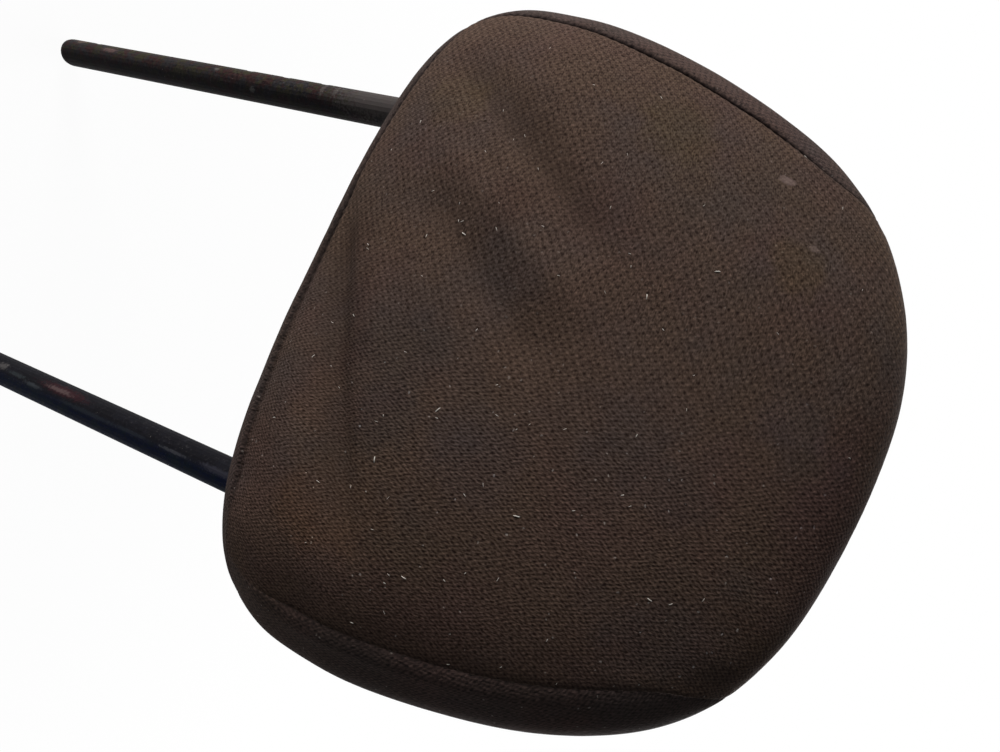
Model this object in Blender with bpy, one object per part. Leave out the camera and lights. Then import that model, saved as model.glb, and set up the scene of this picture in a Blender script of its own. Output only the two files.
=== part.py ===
"""Car seat headrest: a sewn, foam-filled cushion on a bent steel rod with two posts.

Metres, +Z up, front towards -Y. The origin lies midway between the posts' axes, level with the
lowest point of the cushion's underside. The posts hang below it, as they sit in the seat's guides.
"""
import math

import bmesh
import bpy
from mathutils import Matrix, Vector

# Running gap between neighbouring pieces
CLEARANCE = 0.0003

# Bent rod: two posts and a crossbar
POST_DIAMETER = 0.0120
POST_SPACING = 0.1467
POST_REACH = 0.2115
POST_TIP_ROUND = 0.0046
ROD_BEND_RADIUS = 0.0260
CROSSBAR_HEIGHT = 0.0900

# Height stops and the pull-out stop, notched into the left post's outer side
NOTCH_COUNT = 3
NOTCH_FIRST_DROP = 0.0525
NOTCH_PITCH = 0.0200
NOTCH_DEPTH = 0.0016
NOTCH_FLOOR = 0.0040
NOTCH_RAMP = 0.6
STOP_FROM_TIP = 0.0240

# Cushion: a rounded box whose sections shrink and move back towards the top
CUSHION_WIDTH = 0.2225
CUSHION_FRONT_DEPTH = 0.0566
CUSHION_REAR_DEPTH = 0.0450
CUSHION_ABOVE = 0.1128
CUSHION_BELOW = 0.0623
CUSHION_SET_BACK = 0.0115
CUSHION_LEAN = 0.124
WIDTH_TAPER = 0.080
DEPTH_TAPER = 0.455
SECTION_POWER = 3.39
UPPER_POWER = 2.62
LOWER_POWER = 3.72

# Sewing lines, as shares of the section's depth and of the reach above or below the widest level
SIDE_SEAM_SHARE = 0.765
SIDE_SEAM_APEX = 0.828
SIDE_SEAM_SWEEP = 14
CROWN_SHARE = 0.480
CORNER_LEVEL = 0.660
BOTTOM_SEAM_LEVEL = 0.810

# Cover
COVER_THICKNESS = 0.0025
CELLS_ACROSS = 18
CELLS_UP = 13
CELLS_DEEP = 3
CELL_CROWDING = 1.45

# Hooked strips that close the cover underneath
STRIP_LENGTH = 0.1040
STRIP_WALL = 0.0013
STRIP_HEIGHT = 0.0095
STRIP_LIP = 0.0030
STRIP_GAUGE = 0.0012

# Moulded core round the crossbar
CORE_WALL = 0.0030
CORE_DEPTH = 0.0300
CORE_UNDERSIDE = 0.0125
CORE_CORNER = 0.0060
CORE_RIB = 0.0030
CORE_RIB_COUNT = 3

# Screws through the core
SCREW_SHANK = 0.0035
SCREW_HEAD = 0.0070
SCREW_HEAD_HEIGHT = 0.0024
SCREW_LENGTH = 0.0220
SCREW_TIP_SHARE = 0.45
SCREW_RECESS_WIDTH = 0.0009
SCREW_RECESS_SPAN = 0.0040
SCREW_RECESS_DEPTH = 0.0014
BOSS_WALL = 0.0022

# Collars where the posts leave the cover
BEZEL_WALL = 0.0020
BEZEL_FLANGE = 0.0045
BEZEL_FLANGE_THICKNESS = 0.0014

# Facets
ROD_SIDES = 24
BEND_STEPS = 7
TIP_STEPS = 4
SMALL_SIDES = 16

# Worked out from the sizes above
POST_RADIUS = POST_DIAMETER / 2
POST_X = POST_SPACING / 2
HALF_WIDTH = CUSHION_WIDTH / 2
FOAM_INSET = COVER_THICKNESS + CLEARANCE
CORE_HALF_WIDTH = POST_X + POST_RADIUS + CORE_WALL + CLEARANCE
CORE_TOP = CROSSBAR_HEIGHT + POST_RADIUS + CORE_WALL + CLEARANCE
CORE_HALF_DEPTH = CORE_DEPTH / 2
STRIP_HALF_SPREAD = STRIP_WALL + STRIP_LIP
STRIP_HALF_LENGTH = STRIP_LENGTH / 2
BEZEL_RADIUS = POST_RADIUS + CLEARANCE + BEZEL_WALL
PAST = 0.004
SLIT_END_ROUND = 0.98

Y_AXIS = Vector((0, 1, 0))
Z_AXIS = Vector((0, 0, 1))


def clear_scene():
    for item in list(bpy.data.objects):
        bpy.data.objects.remove(item, do_unlink=True)


# Materials

def material(name, colour, roughness, metallic=0.0):
    made = bpy.data.materials.new(name)
    made.use_nodes = True
    shader = made.node_tree.nodes["Principled BSDF"]
    shader.inputs["Base Color"].default_value = (*colour, 1.0)
    shader.inputs["Roughness"].default_value = roughness
    shader.inputs["Metallic"].default_value = metallic
    return made


def knit_material(name):
    return material(name, (0.042, 0.030, 0.024), 0.92)


def side_knit_material(name):
    return material(name, (0.026, 0.020, 0.017), 0.90)


def worn_steel_material(name):
    return material(name, (0.035, 0.030, 0.030), 0.38, 0.75)


def foam_material(name):
    return material(name, (0.55, 0.50, 0.34), 0.95)


def core_material(name):
    return material(name, (0.030, 0.030, 0.032), 0.55)


def strip_material(name):
    return material(name, (0.020, 0.020, 0.021), 0.45)


def screw_material(name):
    return material(name, (0.52, 0.50, 0.45), 0.35, 0.9)


# Building blocks

def object_from(name, bm, make_material=None, sharp_degrees=35):
    """A mesh object from bm, shaded smooth up to the given angle."""
    mesh = bpy.data.meshes.new(name)
    bm.to_mesh(mesh)
    bm.free()
    mesh.shade_smooth()
    mesh.set_sharp_from_angle(angle=math.radians(sharp_degrees))
    made = bpy.data.objects.new(name, mesh)
    bpy.context.scene.collection.objects.link(made)
    if make_material:
        mesh.materials.append(make_material(name))
    return made


def add_ring(bm, centre, along, radius, sides, start=Y_AXIS):
    """A ring of vertices round centre, square to along."""
    side = start.cross(along).normalized()
    up = along.cross(side).normalized()
    turns = [2 * math.pi * k / sides for k in range(sides)]
    return [bm.verts.new(centre + radius * (math.cos(a) * side + math.sin(a) * up)) for a in turns]


def bridge(bm, first, second):
    """Quads between two rings with as many vertices each."""
    count = len(first)
    for k in range(count):
        after = (k + 1) % count
        bm.faces.new((first[k], first[after], second[after], second[k]))


def lofted(rings_of, sides, start=Y_AXIS):
    """A closed body through the rings given as (centre, along, radius), with flat ends."""
    bm = bmesh.new()
    rings = [add_ring(bm, Vector(c), Vector(d), r, sides, start) for c, d, r in rings_of]
    for first, second in zip(rings, rings[1:]):
        bridge(bm, first, second)
    bm.faces.new(list(reversed(rings[0])))
    bm.faces.new(rings[-1])
    return bm


def box_bm(low, high):
    """A box between two corners."""
    bm = bmesh.new()
    size = [b - a for a, b in zip(low, high)]
    middle = [(a + b) / 2 for a, b in zip(low, high)]
    bmesh.ops.create_cube(bm, size=1, matrix=Matrix.Translation(middle) @ Matrix.Diagonal((*size, 1)))
    return bm


def cylinder_bm(centre, along, radius, length, sides=SMALL_SIDES):
    """A round bar of the given length, its middle at centre."""
    centre = Vector(centre)
    along = Vector(along)
    half = along * length / 2
    return lofted([(centre - half, along, radius), (centre + half, along, radius)], sides)


def prism_bm(outline, normal_axis, low, high):
    """An outline of 2-D points, extruded along X (0) or Y (1) from low to high."""
    bm = bmesh.new()

    def place(point, along):
        a, b = point
        return (along, a, b) if normal_axis == 0 else (a, along, b)

    ends = [[bm.verts.new(place(p, along)) for p in outline] for along in (low, high)]
    bridge(bm, *ends)
    bm.faces.new(ends[0])
    bm.faces.new(list(reversed(ends[1])))
    bmesh.ops.recalc_face_normals(bm, faces=bm.faces)
    return bm


def cut(target, name, bm):
    """Takes the shape in bm out of target."""
    cutter = object_from(name, bm)
    cutter.hide_render = True
    cutter.display_type = "WIRE"
    boolean = target.modifiers.new(name, "BOOLEAN")
    boolean.operation = "DIFFERENCE"
    boolean.solver = "EXACT"
    boolean.object = cutter


# The cushion's outer form

def section(level):
    """Middle, half width, front depth and rear depth of the cushion's section at a level.

    Levels run from -1 at the underside through 0 at the widest section to 1 at the crown.
    """
    above = max(level, 0.0)
    power = UPPER_POWER if level > 0 else LOWER_POWER
    reach = CUSHION_ABOVE if level > 0 else CUSHION_BELOW
    shrink = max(1 - abs(level) ** power, 0.0) ** (1 / power)
    middle = CUSHION_SET_BACK + CUSHION_LEAN * level * reach
    across = HALF_WIDTH * (1 - WIDTH_TAPER * above) * shrink
    deep = (1 - DEPTH_TAPER * above) * shrink
    return middle, across, CUSHION_FRONT_DEPTH * deep, CUSHION_REAR_DEPTH * deep


def height(level):
    return CUSHION_BELOW + level * (CUSHION_ABOVE if level > 0 else CUSHION_BELOW)


def fullness(point):
    """Below 1 inside the cushion, 1 on its cover and above 1 outside."""
    rise = point[2] - CUSHION_BELOW
    level = rise / (CUSHION_ABOVE if rise > 0 else CUSHION_BELOW)
    above = min(max(level, 0.0), 1.2)
    power = UPPER_POWER if level > 0 else LOWER_POWER
    back = point[1] - CUSHION_SET_BACK - CUSHION_LEAN * rise
    depth = (CUSHION_FRONT_DEPTH if back < 0 else CUSHION_REAR_DEPTH) * (1 - DEPTH_TAPER * above)
    across = HALF_WIDTH * (1 - WIDTH_TAPER * above)
    ring = abs(point[0] / across) ** SECTION_POWER + abs(back / depth) ** SECTION_POWER
    return ring ** (power / SECTION_POWER) + abs(level) ** power


def cast(start, direction):
    """The point of the cover that direction meets from a start inside the cushion."""
    direction = direction.normalized()
    near = 0.0
    far = CUSHION_WIDTH + CUSHION_ABOVE + CUSHION_BELOW
    for _ in range(40):
        middle = (near + far) / 2
        if fullness(start + direction * middle) < 1:
            near = middle
        else:
            far = middle
    return start + direction * far


def outward(point):
    """The cover's outward normal at a point on it."""
    step = 0.00005
    slope = []
    for axis in range(3):
        ahead = Vector(point)
        behind = Vector(point)
        ahead[axis] += step
        behind[axis] -= step
        slope.append(fullness(ahead) - fullness(behind))
    return Vector(slope).normalized()


def at_share(level, share, side):
    """A point of the cover at a level and a share of the section's depth, front below zero."""
    middle, across, front, rear = section(level)
    depth = front if share < 0 else rear
    x = across * (1 - abs(share) ** SECTION_POWER) ** (1 / SECTION_POWER)
    return Vector((side * x, middle + share * depth, height(level)))


def at_width(level, x, facing):
    """A point of the cover at a level and an x, in front (-1) or behind (1)."""
    middle, across, front, rear = section(level)
    depth = front if facing < 0 else rear
    deep = max(1 - abs(x / across) ** SECTION_POWER, 0.0) ** (1 / SECTION_POWER)
    return Vector((x, middle + facing * depth * deep, height(level)))


# Sewing lines

def seam_share(level):
    """How far the side seam lies from the section's middle at a level."""
    up = max(level, 0.0) / SIDE_SEAM_APEX
    return SIDE_SEAM_SHARE * math.sqrt(1 - up ** SIDE_SEAM_SWEEP)


def seam_level(share):
    """The level of the side seam's arch over the shoulder at a share of the depth."""
    return SIDE_SEAM_APEX * (1 - (share / SIDE_SEAM_SHARE) ** 2) ** (1 / SIDE_SEAM_SWEEP)


def blend(low, high, part):
    return low + (high - low) * part


def side_seam(facing, side):
    """The seam from the bottom corner up to the crown's start, in front (-1) or behind (1)."""
    top = seam_level(CROWN_SHARE)
    parts = [1 - (1 - k / CELLS_UP) ** CELL_CROWDING for k in range(CELLS_UP + 1)]
    levels = [blend(-CORNER_LEVEL, top, part) for part in parts]
    return [at_share(level, facing * seam_share(level), side) for level in levels]


def shoulder_arch(side):
    """The seam's arch over the shoulder, from the front to the rear."""
    steps = 2 * CELLS_DEEP
    shares = [blend(-CROWN_SHARE, CROWN_SHARE, k / steps) for k in range(steps + 1)]
    return [at_share(seam_level(share), share, side) for share in shares]


def corner_line(side, facing):
    """Half of the side panel's lower edge: from the line of the posts to a bottom corner."""
    level = -CORNER_LEVEL
    middle, _, front, rear = section(level)
    start = -middle / (front if middle > 0 else rear)
    end = facing * SIDE_SEAM_SHARE
    shares = [blend(start, end, k / CELLS_DEEP) for k in range(CELLS_DEEP + 1)]
    return [at_share(level, share, side) for share in shares]


def bottom_seam(facing):
    """The seam along the lower edge of the front or the back, from left to right."""
    corner = at_share(-CORNER_LEVEL, facing * SIDE_SEAM_SHARE, 1)
    points = []
    for k in range(CELLS_ACROSS + 1):
        x = blend(-corner.x, corner.x, k / CELLS_ACROSS)
        level = blend(-BOTTOM_SEAM_LEVEL, -CORNER_LEVEL, (x / corner.x) ** 2)
        points.append(at_width(level, x, facing))
    return points


def posts_line():
    """The line across the underside through both posts' axes."""
    end = corner_line(1, 1)[0]
    xs = [blend(-end.x, end.x, k / CELLS_ACROSS) for k in range(CELLS_ACROSS + 1)]
    inner = [cast(Vector((x, 0, CUSHION_BELOW)), -Z_AXIS) for x in xs[1:-1]]
    return [Vector((-end.x, end.y, end.z)), *inner, end]


def crown_line(facing):
    """The line over the crown between the shoulders. Behind, it is the rear cross seam."""
    level = seam_level(CROWN_SHARE)
    end = at_share(level, facing * CROWN_SHARE, 1)
    xs = [blend(-end.x, end.x, k / CELLS_ACROSS) for k in range(CELLS_ACROSS + 1)]
    return [at_width(level, x, facing) for x in xs]


def patch(bottom, top, left, right):
    """A grid of points on the cover inside four edges that share their corners."""
    heart = Vector((0, CUSHION_SET_BACK, CUSHION_BELOW))
    columns = len(bottom) - 1
    rows = len(left) - 1
    grid = []
    for j in range(rows + 1):
        v = j / rows
        row = []
        for i in range(columns + 1):
            u = i / columns
            if j == 0:
                row.append(bottom[i])
            elif j == rows:
                row.append(top[i])
            elif i == 0:
                row.append(left[j])
            elif i == columns:
                row.append(right[j])
            else:
                ruled = bottom[i].lerp(top[i], v) + left[j].lerp(right[j], u)
                corners = bottom[0].lerp(bottom[-1], u).lerp(top[0].lerp(top[-1], u), v)
                row.append(cast(heart, ruled - corners - heart))
        grid.append(row)
    return grid


def front_patch():
    return patch(bottom_seam(-1), crown_line(-1), side_seam(-1, -1), side_seam(-1, 1))


def crown_patch():
    return patch(crown_line(-1), crown_line(1), shoulder_arch(-1), shoulder_arch(1))


def rear_patch():
    return patch(crown_line(1), bottom_seam(1), side_seam(1, -1)[::-1], side_seam(1, 1)[::-1])


def side_patch(side):
    lower = corner_line(side, -1)[:0:-1] + corner_line(side, 1)
    if side > 0:
        return patch(lower, shoulder_arch(1), side_seam(-1, 1), side_seam(1, 1))
    return patch(lower[::-1], shoulder_arch(-1)[::-1], side_seam(1, -1), side_seam(-1, -1))


def bottom_front_patch():
    return patch(posts_line(), bottom_seam(-1), corner_line(-1, -1), corner_line(1, -1))


def bottom_rear_patch():
    return patch(bottom_seam(1), posts_line(), corner_line(-1, 1)[::-1], corner_line(1, 1)[::-1])


def skin(grids):
    """One surface of triangles from grids that share edges."""
    bm = bmesh.new()
    for grid in grids:
        verts = [[bm.verts.new(p) for p in row] for row in grid]
        for low, high in zip(verts, verts[1:]):
            for k in range(len(low) - 1):
                bm.faces.new((low[k], low[k + 1], high[k + 1]))
                bm.faces.new((low[k], high[k + 1], high[k]))
    bmesh.ops.remove_doubles(bm, verts=bm.verts, dist=0.00001)
    return bm


def draw_in_edges(bm, distance):
    """Moves the open edges of a surface inwards along it, which opens the seams."""
    moves = {}
    for edge in bm.edges:
        if edge.is_boundary:
            face = edge.link_faces[0]
            run = (edge.verts[1].co - edge.verts[0].co).normalized()
            inward = run.cross(face.normal).normalized()
            if inward.dot(face.calc_center_median() - edge.verts[0].co) < 0:
                inward.negate()
            for vert in edge.verts:
                moves.setdefault(vert, []).append(inward)
    for vert, directions in moves.items():
        total = sum(directions, Vector())
        spread = total.normalized().dot(directions[0])
        vert.co += total.normalized() * distance / max(spread, 0.5)


def shell(grids, thickness):
    """A panel of the cover: the surface, the same surface further in, and the rim between."""
    bm = skin(grids)
    bm.normal_update()
    draw_in_edges(bm, CLEARANCE / 2)
    outer = list(bm.verts)
    inner = {v: bm.verts.new(v.co - outward(v.co) * thickness) for v in outer}
    rim = [e for e in bm.edges if e.is_boundary]
    for face in list(bm.faces):
        bm.faces.new([inner[v] for v in reversed(face.verts)])
    for edge in rim:
        loop = edge.link_faces[0].loops
        first = next(item.vert for item in loop if item.edge == edge)
        second = edge.other_vert(first)
        if rank(first) < rank(second):
            bm.faces.new((second, first, inner[first]))
            bm.faces.new((second, inner[first], inner[second]))
        else:
            bm.faces.new((second, first, inner[second]))
            bm.faces.new((first, inner[first], inner[second]))
    return bm


def rank(vert):
    """Orders a seam's points alike on both of its panels, so that their rims split the same way."""
    return 3 * vert.co.z + 2 * vert.co.y + abs(vert.co.x)


# Cover

def cover_panel(name, grids, make_material):
    return object_from(name, shell(grids, COVER_THICKNESS), make_material, 60)


def open_flap(flap, side_name):
    """Cuts the posts' holes and the closure's slot into one half of the underside."""
    for side, label in ((-1, "left"), (1, "right")):
        hole = cylinder_bm((side * POST_X, 0, 0), Z_AXIS, BEZEL_RADIUS + CLEARANCE, CUSHION_BELOW)
        cut(flap, f"cut_{side_name}_post_{label}", hole)
    wide = STRIP_HALF_LENGTH + CLEARANCE
    deep = STRIP_HALF_SPREAD + CLEARANCE
    slot = box_bm((-wide, -deep, -PAST), (wide, deep, CORE_UNDERSIDE))
    cut(flap, f"cut_{side_name}_slot", slot)


def cover():
    cover_panel("cover_main_panel", [front_patch(), crown_patch()], knit_material)
    cover_panel("cover_rear_panel", [rear_patch()], knit_material)
    cover_panel("cover_left_side_panel", [side_patch(-1)], side_knit_material)
    cover_panel("cover_right_side_panel", [side_patch(1)], side_knit_material)
    front = cover_panel("cover_bottom_front_flap", [bottom_front_patch()], side_knit_material)
    rear = cover_panel("cover_bottom_rear_flap", [bottom_rear_patch()], side_knit_material)
    open_flap(front, "front")
    open_flap(rear, "rear")


# Closure

def strip_outline(facing):
    """The hooked strip's section in Y and Z: a wall, a floor or roof, and a lip."""
    low = CLEARANCE + COVER_THICKNESS / 2
    top = low + STRIP_HEIGHT
    wall = STRIP_HALF_SPREAD
    if facing < 0:
        floor = low + STRIP_GAUGE
        lip_top = floor + STRIP_LIP
        return [(-wall, low), (STRIP_GAUGE, low), (STRIP_GAUGE, lip_top), (0, lip_top),
                (0, floor), (-wall + STRIP_WALL, floor), (-wall + STRIP_WALL, top), (-wall, top)]
    roof = low + STRIP_GAUGE + STRIP_LIP + CLEARANCE
    lip_low = low + STRIP_GAUGE + CLEARANCE
    lip = -CLEARANCE
    return [(wall, top), (wall - STRIP_WALL, top), (wall - STRIP_WALL, roof + STRIP_GAUGE),
            (lip - STRIP_GAUGE, roof + STRIP_GAUGE), (lip - STRIP_GAUGE, lip_low), (lip, lip_low),
            (lip, roof), (wall - STRIP_WALL, roof), (wall - STRIP_WALL, low), (wall, low)]


def closure_strips():
    for facing, label in ((-1, "front"), (1, "rear")):
        outline = strip_outline(facing)
        bm = prism_bm(outline, 0, -STRIP_HALF_LENGTH, STRIP_HALF_LENGTH)
        object_from(f"closure_strip_{label}", bm, strip_material)


# Bent rod

def arc(centre, start, end, normal, radius, swell):
    """Rings round a bend in the XZ plane, from start to end in degrees."""
    rings = []
    for k in range(BEND_STEPS + 1):
        angle = math.radians(blend(start, end, k / BEND_STEPS))
        place = Vector((centre[0] + radius * math.cos(angle), 0, centre[1] + radius * math.sin(angle)))
        along = Vector((-math.sin(angle), 0, math.cos(angle))) * normal
        rings.append((place, along, swell))
    return rings


def tip_rings(x, up):
    """Rings of a post's rounded tip, from its flat end up to the full radius."""
    rings = []
    for k in range(TIP_STEPS + 1):
        angle = math.radians(90 * k / TIP_STEPS)
        z = -POST_REACH + POST_TIP_ROUND * (1 - math.sin(angle))
        radius = POST_RADIUS - POST_TIP_ROUND * (1 - math.cos(angle))
        rings.append((Vector((x, 0, z)), Z_AXIS * up, radius))
    return rings


def rod_rings(swell):
    """Rings along the whole rod, from the left tip over the crossbar to the right tip."""
    bend = (POST_X - ROD_BEND_RADIUS, CROSSBAR_HEIGHT - ROD_BEND_RADIUS)
    left = arc((-bend[0], bend[1]), 180, 90, -1, ROD_BEND_RADIUS, swell)
    right = arc(bend, 90, 0, -1, ROD_BEND_RADIUS, swell)
    return left + right


def notch_outline(place, ramp):
    """A notch's section in X and Z: flat floor, square upper shoulder, lower side square or sloping."""
    outer = -POST_X - POST_RADIUS
    floor = outer + NOTCH_DEPTH
    past = outer - PAST
    low = place - NOTCH_FLOOR
    run = (NOTCH_DEPTH + PAST) * ramp
    return [(past, place), (floor, place), (floor, low), (past, low - run)]


def post_frame():
    left = tip_rings(-POST_X, 1)[::-1]
    right = tip_rings(POST_X, -1)
    bm = lofted(left + rod_rings(POST_RADIUS) + right, ROD_SIDES)
    rod = object_from("post_frame", bm, worn_steel_material)
    for k in range(NOTCH_COUNT):
        place = -NOTCH_FIRST_DROP - k * NOTCH_PITCH
        outline = notch_outline(place, NOTCH_RAMP)
        cut(rod, f"cut_notch_{k + 1}", prism_bm(outline, 1, -POST_DIAMETER, POST_DIAMETER))
    outline = notch_outline(-POST_REACH + STOP_FROM_TIP, 0)
    cut(rod, "cut_stop_notch", prism_bm(outline, 1, -POST_DIAMETER, POST_DIAMETER))


# Core

def rounded_block(low, high, radius):
    """A box whose four edges along Y are rounded, as the core's outline."""
    bm = box_bm(low, high)
    along = [e for e in bm.edges if abs(e.verts[0].co.y - e.verts[1].co.y) > radius]
    bmesh.ops.bevel(bm, geom=along, offset=radius, segments=3, profile=0.5, affect="EDGES")
    return bm


def core_block(low_y, high_y, grow=0.0):
    low = (-CORE_HALF_WIDTH - grow, low_y, CORE_UNDERSIDE - grow)
    high = (CORE_HALF_WIDTH + grow, high_y, CORE_TOP + grow)
    return rounded_block(low, high, CORE_CORNER + grow)


def rod_channel():
    """The rod's shape with its running gap, open below the core."""
    swell = POST_RADIUS + CLEARANCE
    below = Vector((-POST_X, 0, -PAST))
    above = Vector((POST_X, 0, -PAST))
    rings = [(below, Z_AXIS, swell), *rod_rings(swell), (above, -Z_AXIS, swell)]
    return lofted(rings, ROD_SIDES)


def screw_places():
    """X and Z of the four screws, beside the posts and clear of the crossbar."""
    x = POST_X - POST_RADIUS - CLEARANCE - SCREW_HEAD / 2 - BOSS_WALL
    low = CORE_UNDERSIDE + CORE_WALL + SCREW_HEAD / 2 + BOSS_WALL
    high = CROSSBAR_HEIGHT - POST_RADIUS - ROD_BEND_RADIUS / 2 - SCREW_HEAD / 2 - BOSS_WALL
    return [(-x, low), (x, low), (-x, high), (x, high)]


def core_cells():
    """Low and high X of the hollows between the core's ribs, with room for the bosses."""
    edge = POST_X - POST_RADIUS - CLEARANCE - SCREW_HEAD - 2 * BOSS_WALL - CORE_RIB
    step = 2 * edge / (CORE_RIB_COUNT + 1)
    cells = []
    for k in range(CORE_RIB_COUNT + 1):
        low = -edge + k * step + CORE_RIB / 2
        cells.append((low, low + step - CORE_RIB))
    return cells


def core_half(facing, label):
    """One moulded half: an outer wall, ribs that saddle the rod, and screw holes."""
    face = facing * CLEARANCE / 2
    back = facing * CORE_HALF_DEPTH
    block = core_block(min(face, back), max(face, back))
    half = object_from(f"core_{label}_half", block, core_material)
    cut(half, f"cut_{label}_channel", rod_channel())
    wall = facing * (CORE_HALF_DEPTH - CORE_WALL)
    low = CORE_UNDERSIDE + CORE_WALL
    high = CROSSBAR_HEIGHT - POST_RADIUS - CLEARANCE - CORE_WALL
    for k, (first, last) in enumerate(core_cells()):
        ends = sorted((-facing * PAST, wall))
        cell = box_bm((first, ends[0], low), (last, ends[1], high))
        cut(half, f"cut_{label}_cell_{k + 1}", cell)
    for k, (x, z) in enumerate(screw_places()):
        hole = screw_hole(x, z)
        cut(half, f"cut_{label}_screw_{k + 1}", hole)


def screw_profile(x, z, grow):
    """Rings of a screw from its tip in the front half to its head in the rear half."""
    head_back = CORE_HALF_DEPTH - CORE_WALL / 2
    head_front = head_back - SCREW_HEAD_HEIGHT
    tip = head_front - SCREW_LENGTH
    shank = SCREW_SHANK / 2 + grow
    head = SCREW_HEAD / 2 + grow
    rows = [(tip - grow, shank * SCREW_TIP_SHARE), (tip + SCREW_SHANK / 2, shank),
            (head_front - grow, shank), (head_front - grow, head), (head_back + grow, head)]
    return [((x, y, z), Y_AXIS, radius) for y, radius in rows]


def screw_hole(x, z):
    """The screw's shape with its gap, run out through the rear half's outer face."""
    rings = screw_profile(x, z, CLEARANCE)
    rings.append(((x, CORE_HALF_DEPTH + PAST, z), Y_AXIS, SCREW_HEAD / 2 + CLEARANCE))
    return lofted(rings, SMALL_SIDES, Z_AXIS)


def screws():
    for k, (x, z) in enumerate(screw_places()):
        body = lofted(screw_profile(x, z, 0.0), SMALL_SIDES, Z_AXIS)
        screw = object_from(f"core_screw_{k + 1}", body, screw_material)
        back = CORE_HALF_DEPTH - CORE_WALL / 2
        long = SCREW_RECESS_SPAN / 2
        slim = SCREW_RECESS_WIDTH / 2
        for label, wide, tall in (("level", long, slim), ("upright", slim, long)):
            low = (x - wide, back - SCREW_RECESS_DEPTH, z - tall)
            high = (x + wide, back + PAST, z + tall)
            cut(screw, f"cut_screw_{k + 1}_{label}", box_bm(low, high))


def core():
    core_half(-1, "front")
    core_half(1, "rear")
    screws()


# Collars

def cover_slope(x):
    """Height of the cover under a post and its slope along X."""
    here = cast(Vector((x, 0, CUSHION_BELOW)), -Z_AXIS)
    normal = outward(here)
    return here.z, -normal.x / normal.z, -normal.y / normal.z


def post_bezel(side, label):
    """A tube round the post, with a flange that lies against the cover's slope."""
    x = side * POST_X
    level, slope_x, slope_y = cover_slope(x)
    bore = POST_RADIUS + CLEARANCE
    flange = BEZEL_RADIUS + BEZEL_FLANGE
    top = CORE_UNDERSIDE - CLEARANCE
    under = level - CLEARANCE
    low = under - BEZEL_FLANGE_THICKNESS
    rows = [(bore, top, 0), (bore, low, 1), (flange - BEZEL_FLANGE_THICKNESS / 2, low, 1),
            (flange, blend(low, under, 0.5), 1), (flange, under, 1), (BEZEL_RADIUS, under, 1),
            (BEZEL_RADIUS, top, 0)]
    bm = bmesh.new()
    rings = []
    for radius, z, sloped in rows:
        ring = add_ring(bm, Vector((x, 0, z)), Z_AXIS, radius, ROD_SIDES)
        for vert in ring:
            vert.co.z += sloped * (slope_x * (vert.co.x - x) + slope_y * vert.co.y)
        rings.append(ring)
    for first, second in zip(rings, rings[1:] + rings[:1]):
        bridge(bm, first, second)
    bmesh.ops.recalc_face_normals(bm, faces=bm.faces)
    object_from(f"post_bezel_{label}", bm, strip_material)


# Foam

def foam_pad():
    """One moulded pad inside the cover, hollow for the core and slit open underneath."""
    grids = [front_patch(), crown_patch(), rear_patch(), side_patch(-1), side_patch(1),
             bottom_front_patch(), bottom_rear_patch()]
    bm = skin(grids)
    for vert in bm.verts:
        vert.co -= outward(vert.co) * FOAM_INSET
    bm.normal_update()
    pad = object_from("foam_pad", bm, foam_material, 60)
    deep = CORE_HALF_DEPTH + CLEARANCE
    cut(pad, "cut_core_pocket", core_block(-deep, deep, CLEARANCE))
    cut(pad, "cut_slit", slit_under_core())


def slit_under_core():
    """The slit under the core, with half-round ends about the posts."""
    deep = BEZEL_RADIUS + CLEARANCE
    wide = POST_X + deep
    bm = box_bm((-wide, -deep, -PAST), (wide, deep, CORE_UNDERSIDE + CORE_WALL))
    upright = [e for e in bm.edges if abs(e.verts[0].co.z - e.verts[1].co.z) > CORE_WALL]
    bmesh.ops.bevel(bm, geom=upright, offset=deep * SLIT_END_ROUND, segments=6, profile=0.5, affect="EDGES")
    return bm


def build():
    clear_scene()
    post_frame()
    core()
    foam_pad()
    cover()
    closure_strips()
    post_bezel(-1, "left")
    post_bezel(1, "right")


build()
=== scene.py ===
"""A car seat headrest: a knitted cover over a stuffed pad, worn steel posts and a plastic closure."""

import math
import random

import bmesh
import bpy
import numpy as np
from mathutils import Matrix, Vector, noise
from mathutils.bvhtree import BVHTree
from mathutils.kdtree import KDTree


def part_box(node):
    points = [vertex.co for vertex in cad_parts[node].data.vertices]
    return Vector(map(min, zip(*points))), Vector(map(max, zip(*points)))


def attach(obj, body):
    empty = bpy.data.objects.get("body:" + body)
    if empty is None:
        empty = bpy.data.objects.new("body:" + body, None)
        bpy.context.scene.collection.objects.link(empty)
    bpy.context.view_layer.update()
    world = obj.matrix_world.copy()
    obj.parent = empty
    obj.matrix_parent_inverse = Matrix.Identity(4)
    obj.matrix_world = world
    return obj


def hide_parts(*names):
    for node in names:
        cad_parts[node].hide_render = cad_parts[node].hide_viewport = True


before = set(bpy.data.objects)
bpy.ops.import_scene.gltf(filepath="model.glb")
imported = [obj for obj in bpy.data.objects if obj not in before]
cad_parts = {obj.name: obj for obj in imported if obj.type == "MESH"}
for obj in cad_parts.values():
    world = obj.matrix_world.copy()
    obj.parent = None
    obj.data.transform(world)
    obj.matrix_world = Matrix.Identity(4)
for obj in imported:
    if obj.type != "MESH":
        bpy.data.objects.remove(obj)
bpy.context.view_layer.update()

# Places taken from the frame
PAD_LOW, PAD_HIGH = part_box("foam_pad")
HEART = (PAD_LOW + PAD_HIGH) / 2
ROD_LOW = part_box("post_frame")[0]
POST_X = (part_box("post_bezel_right")[0].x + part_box("post_bezel_right")[1].x) / 2

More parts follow.
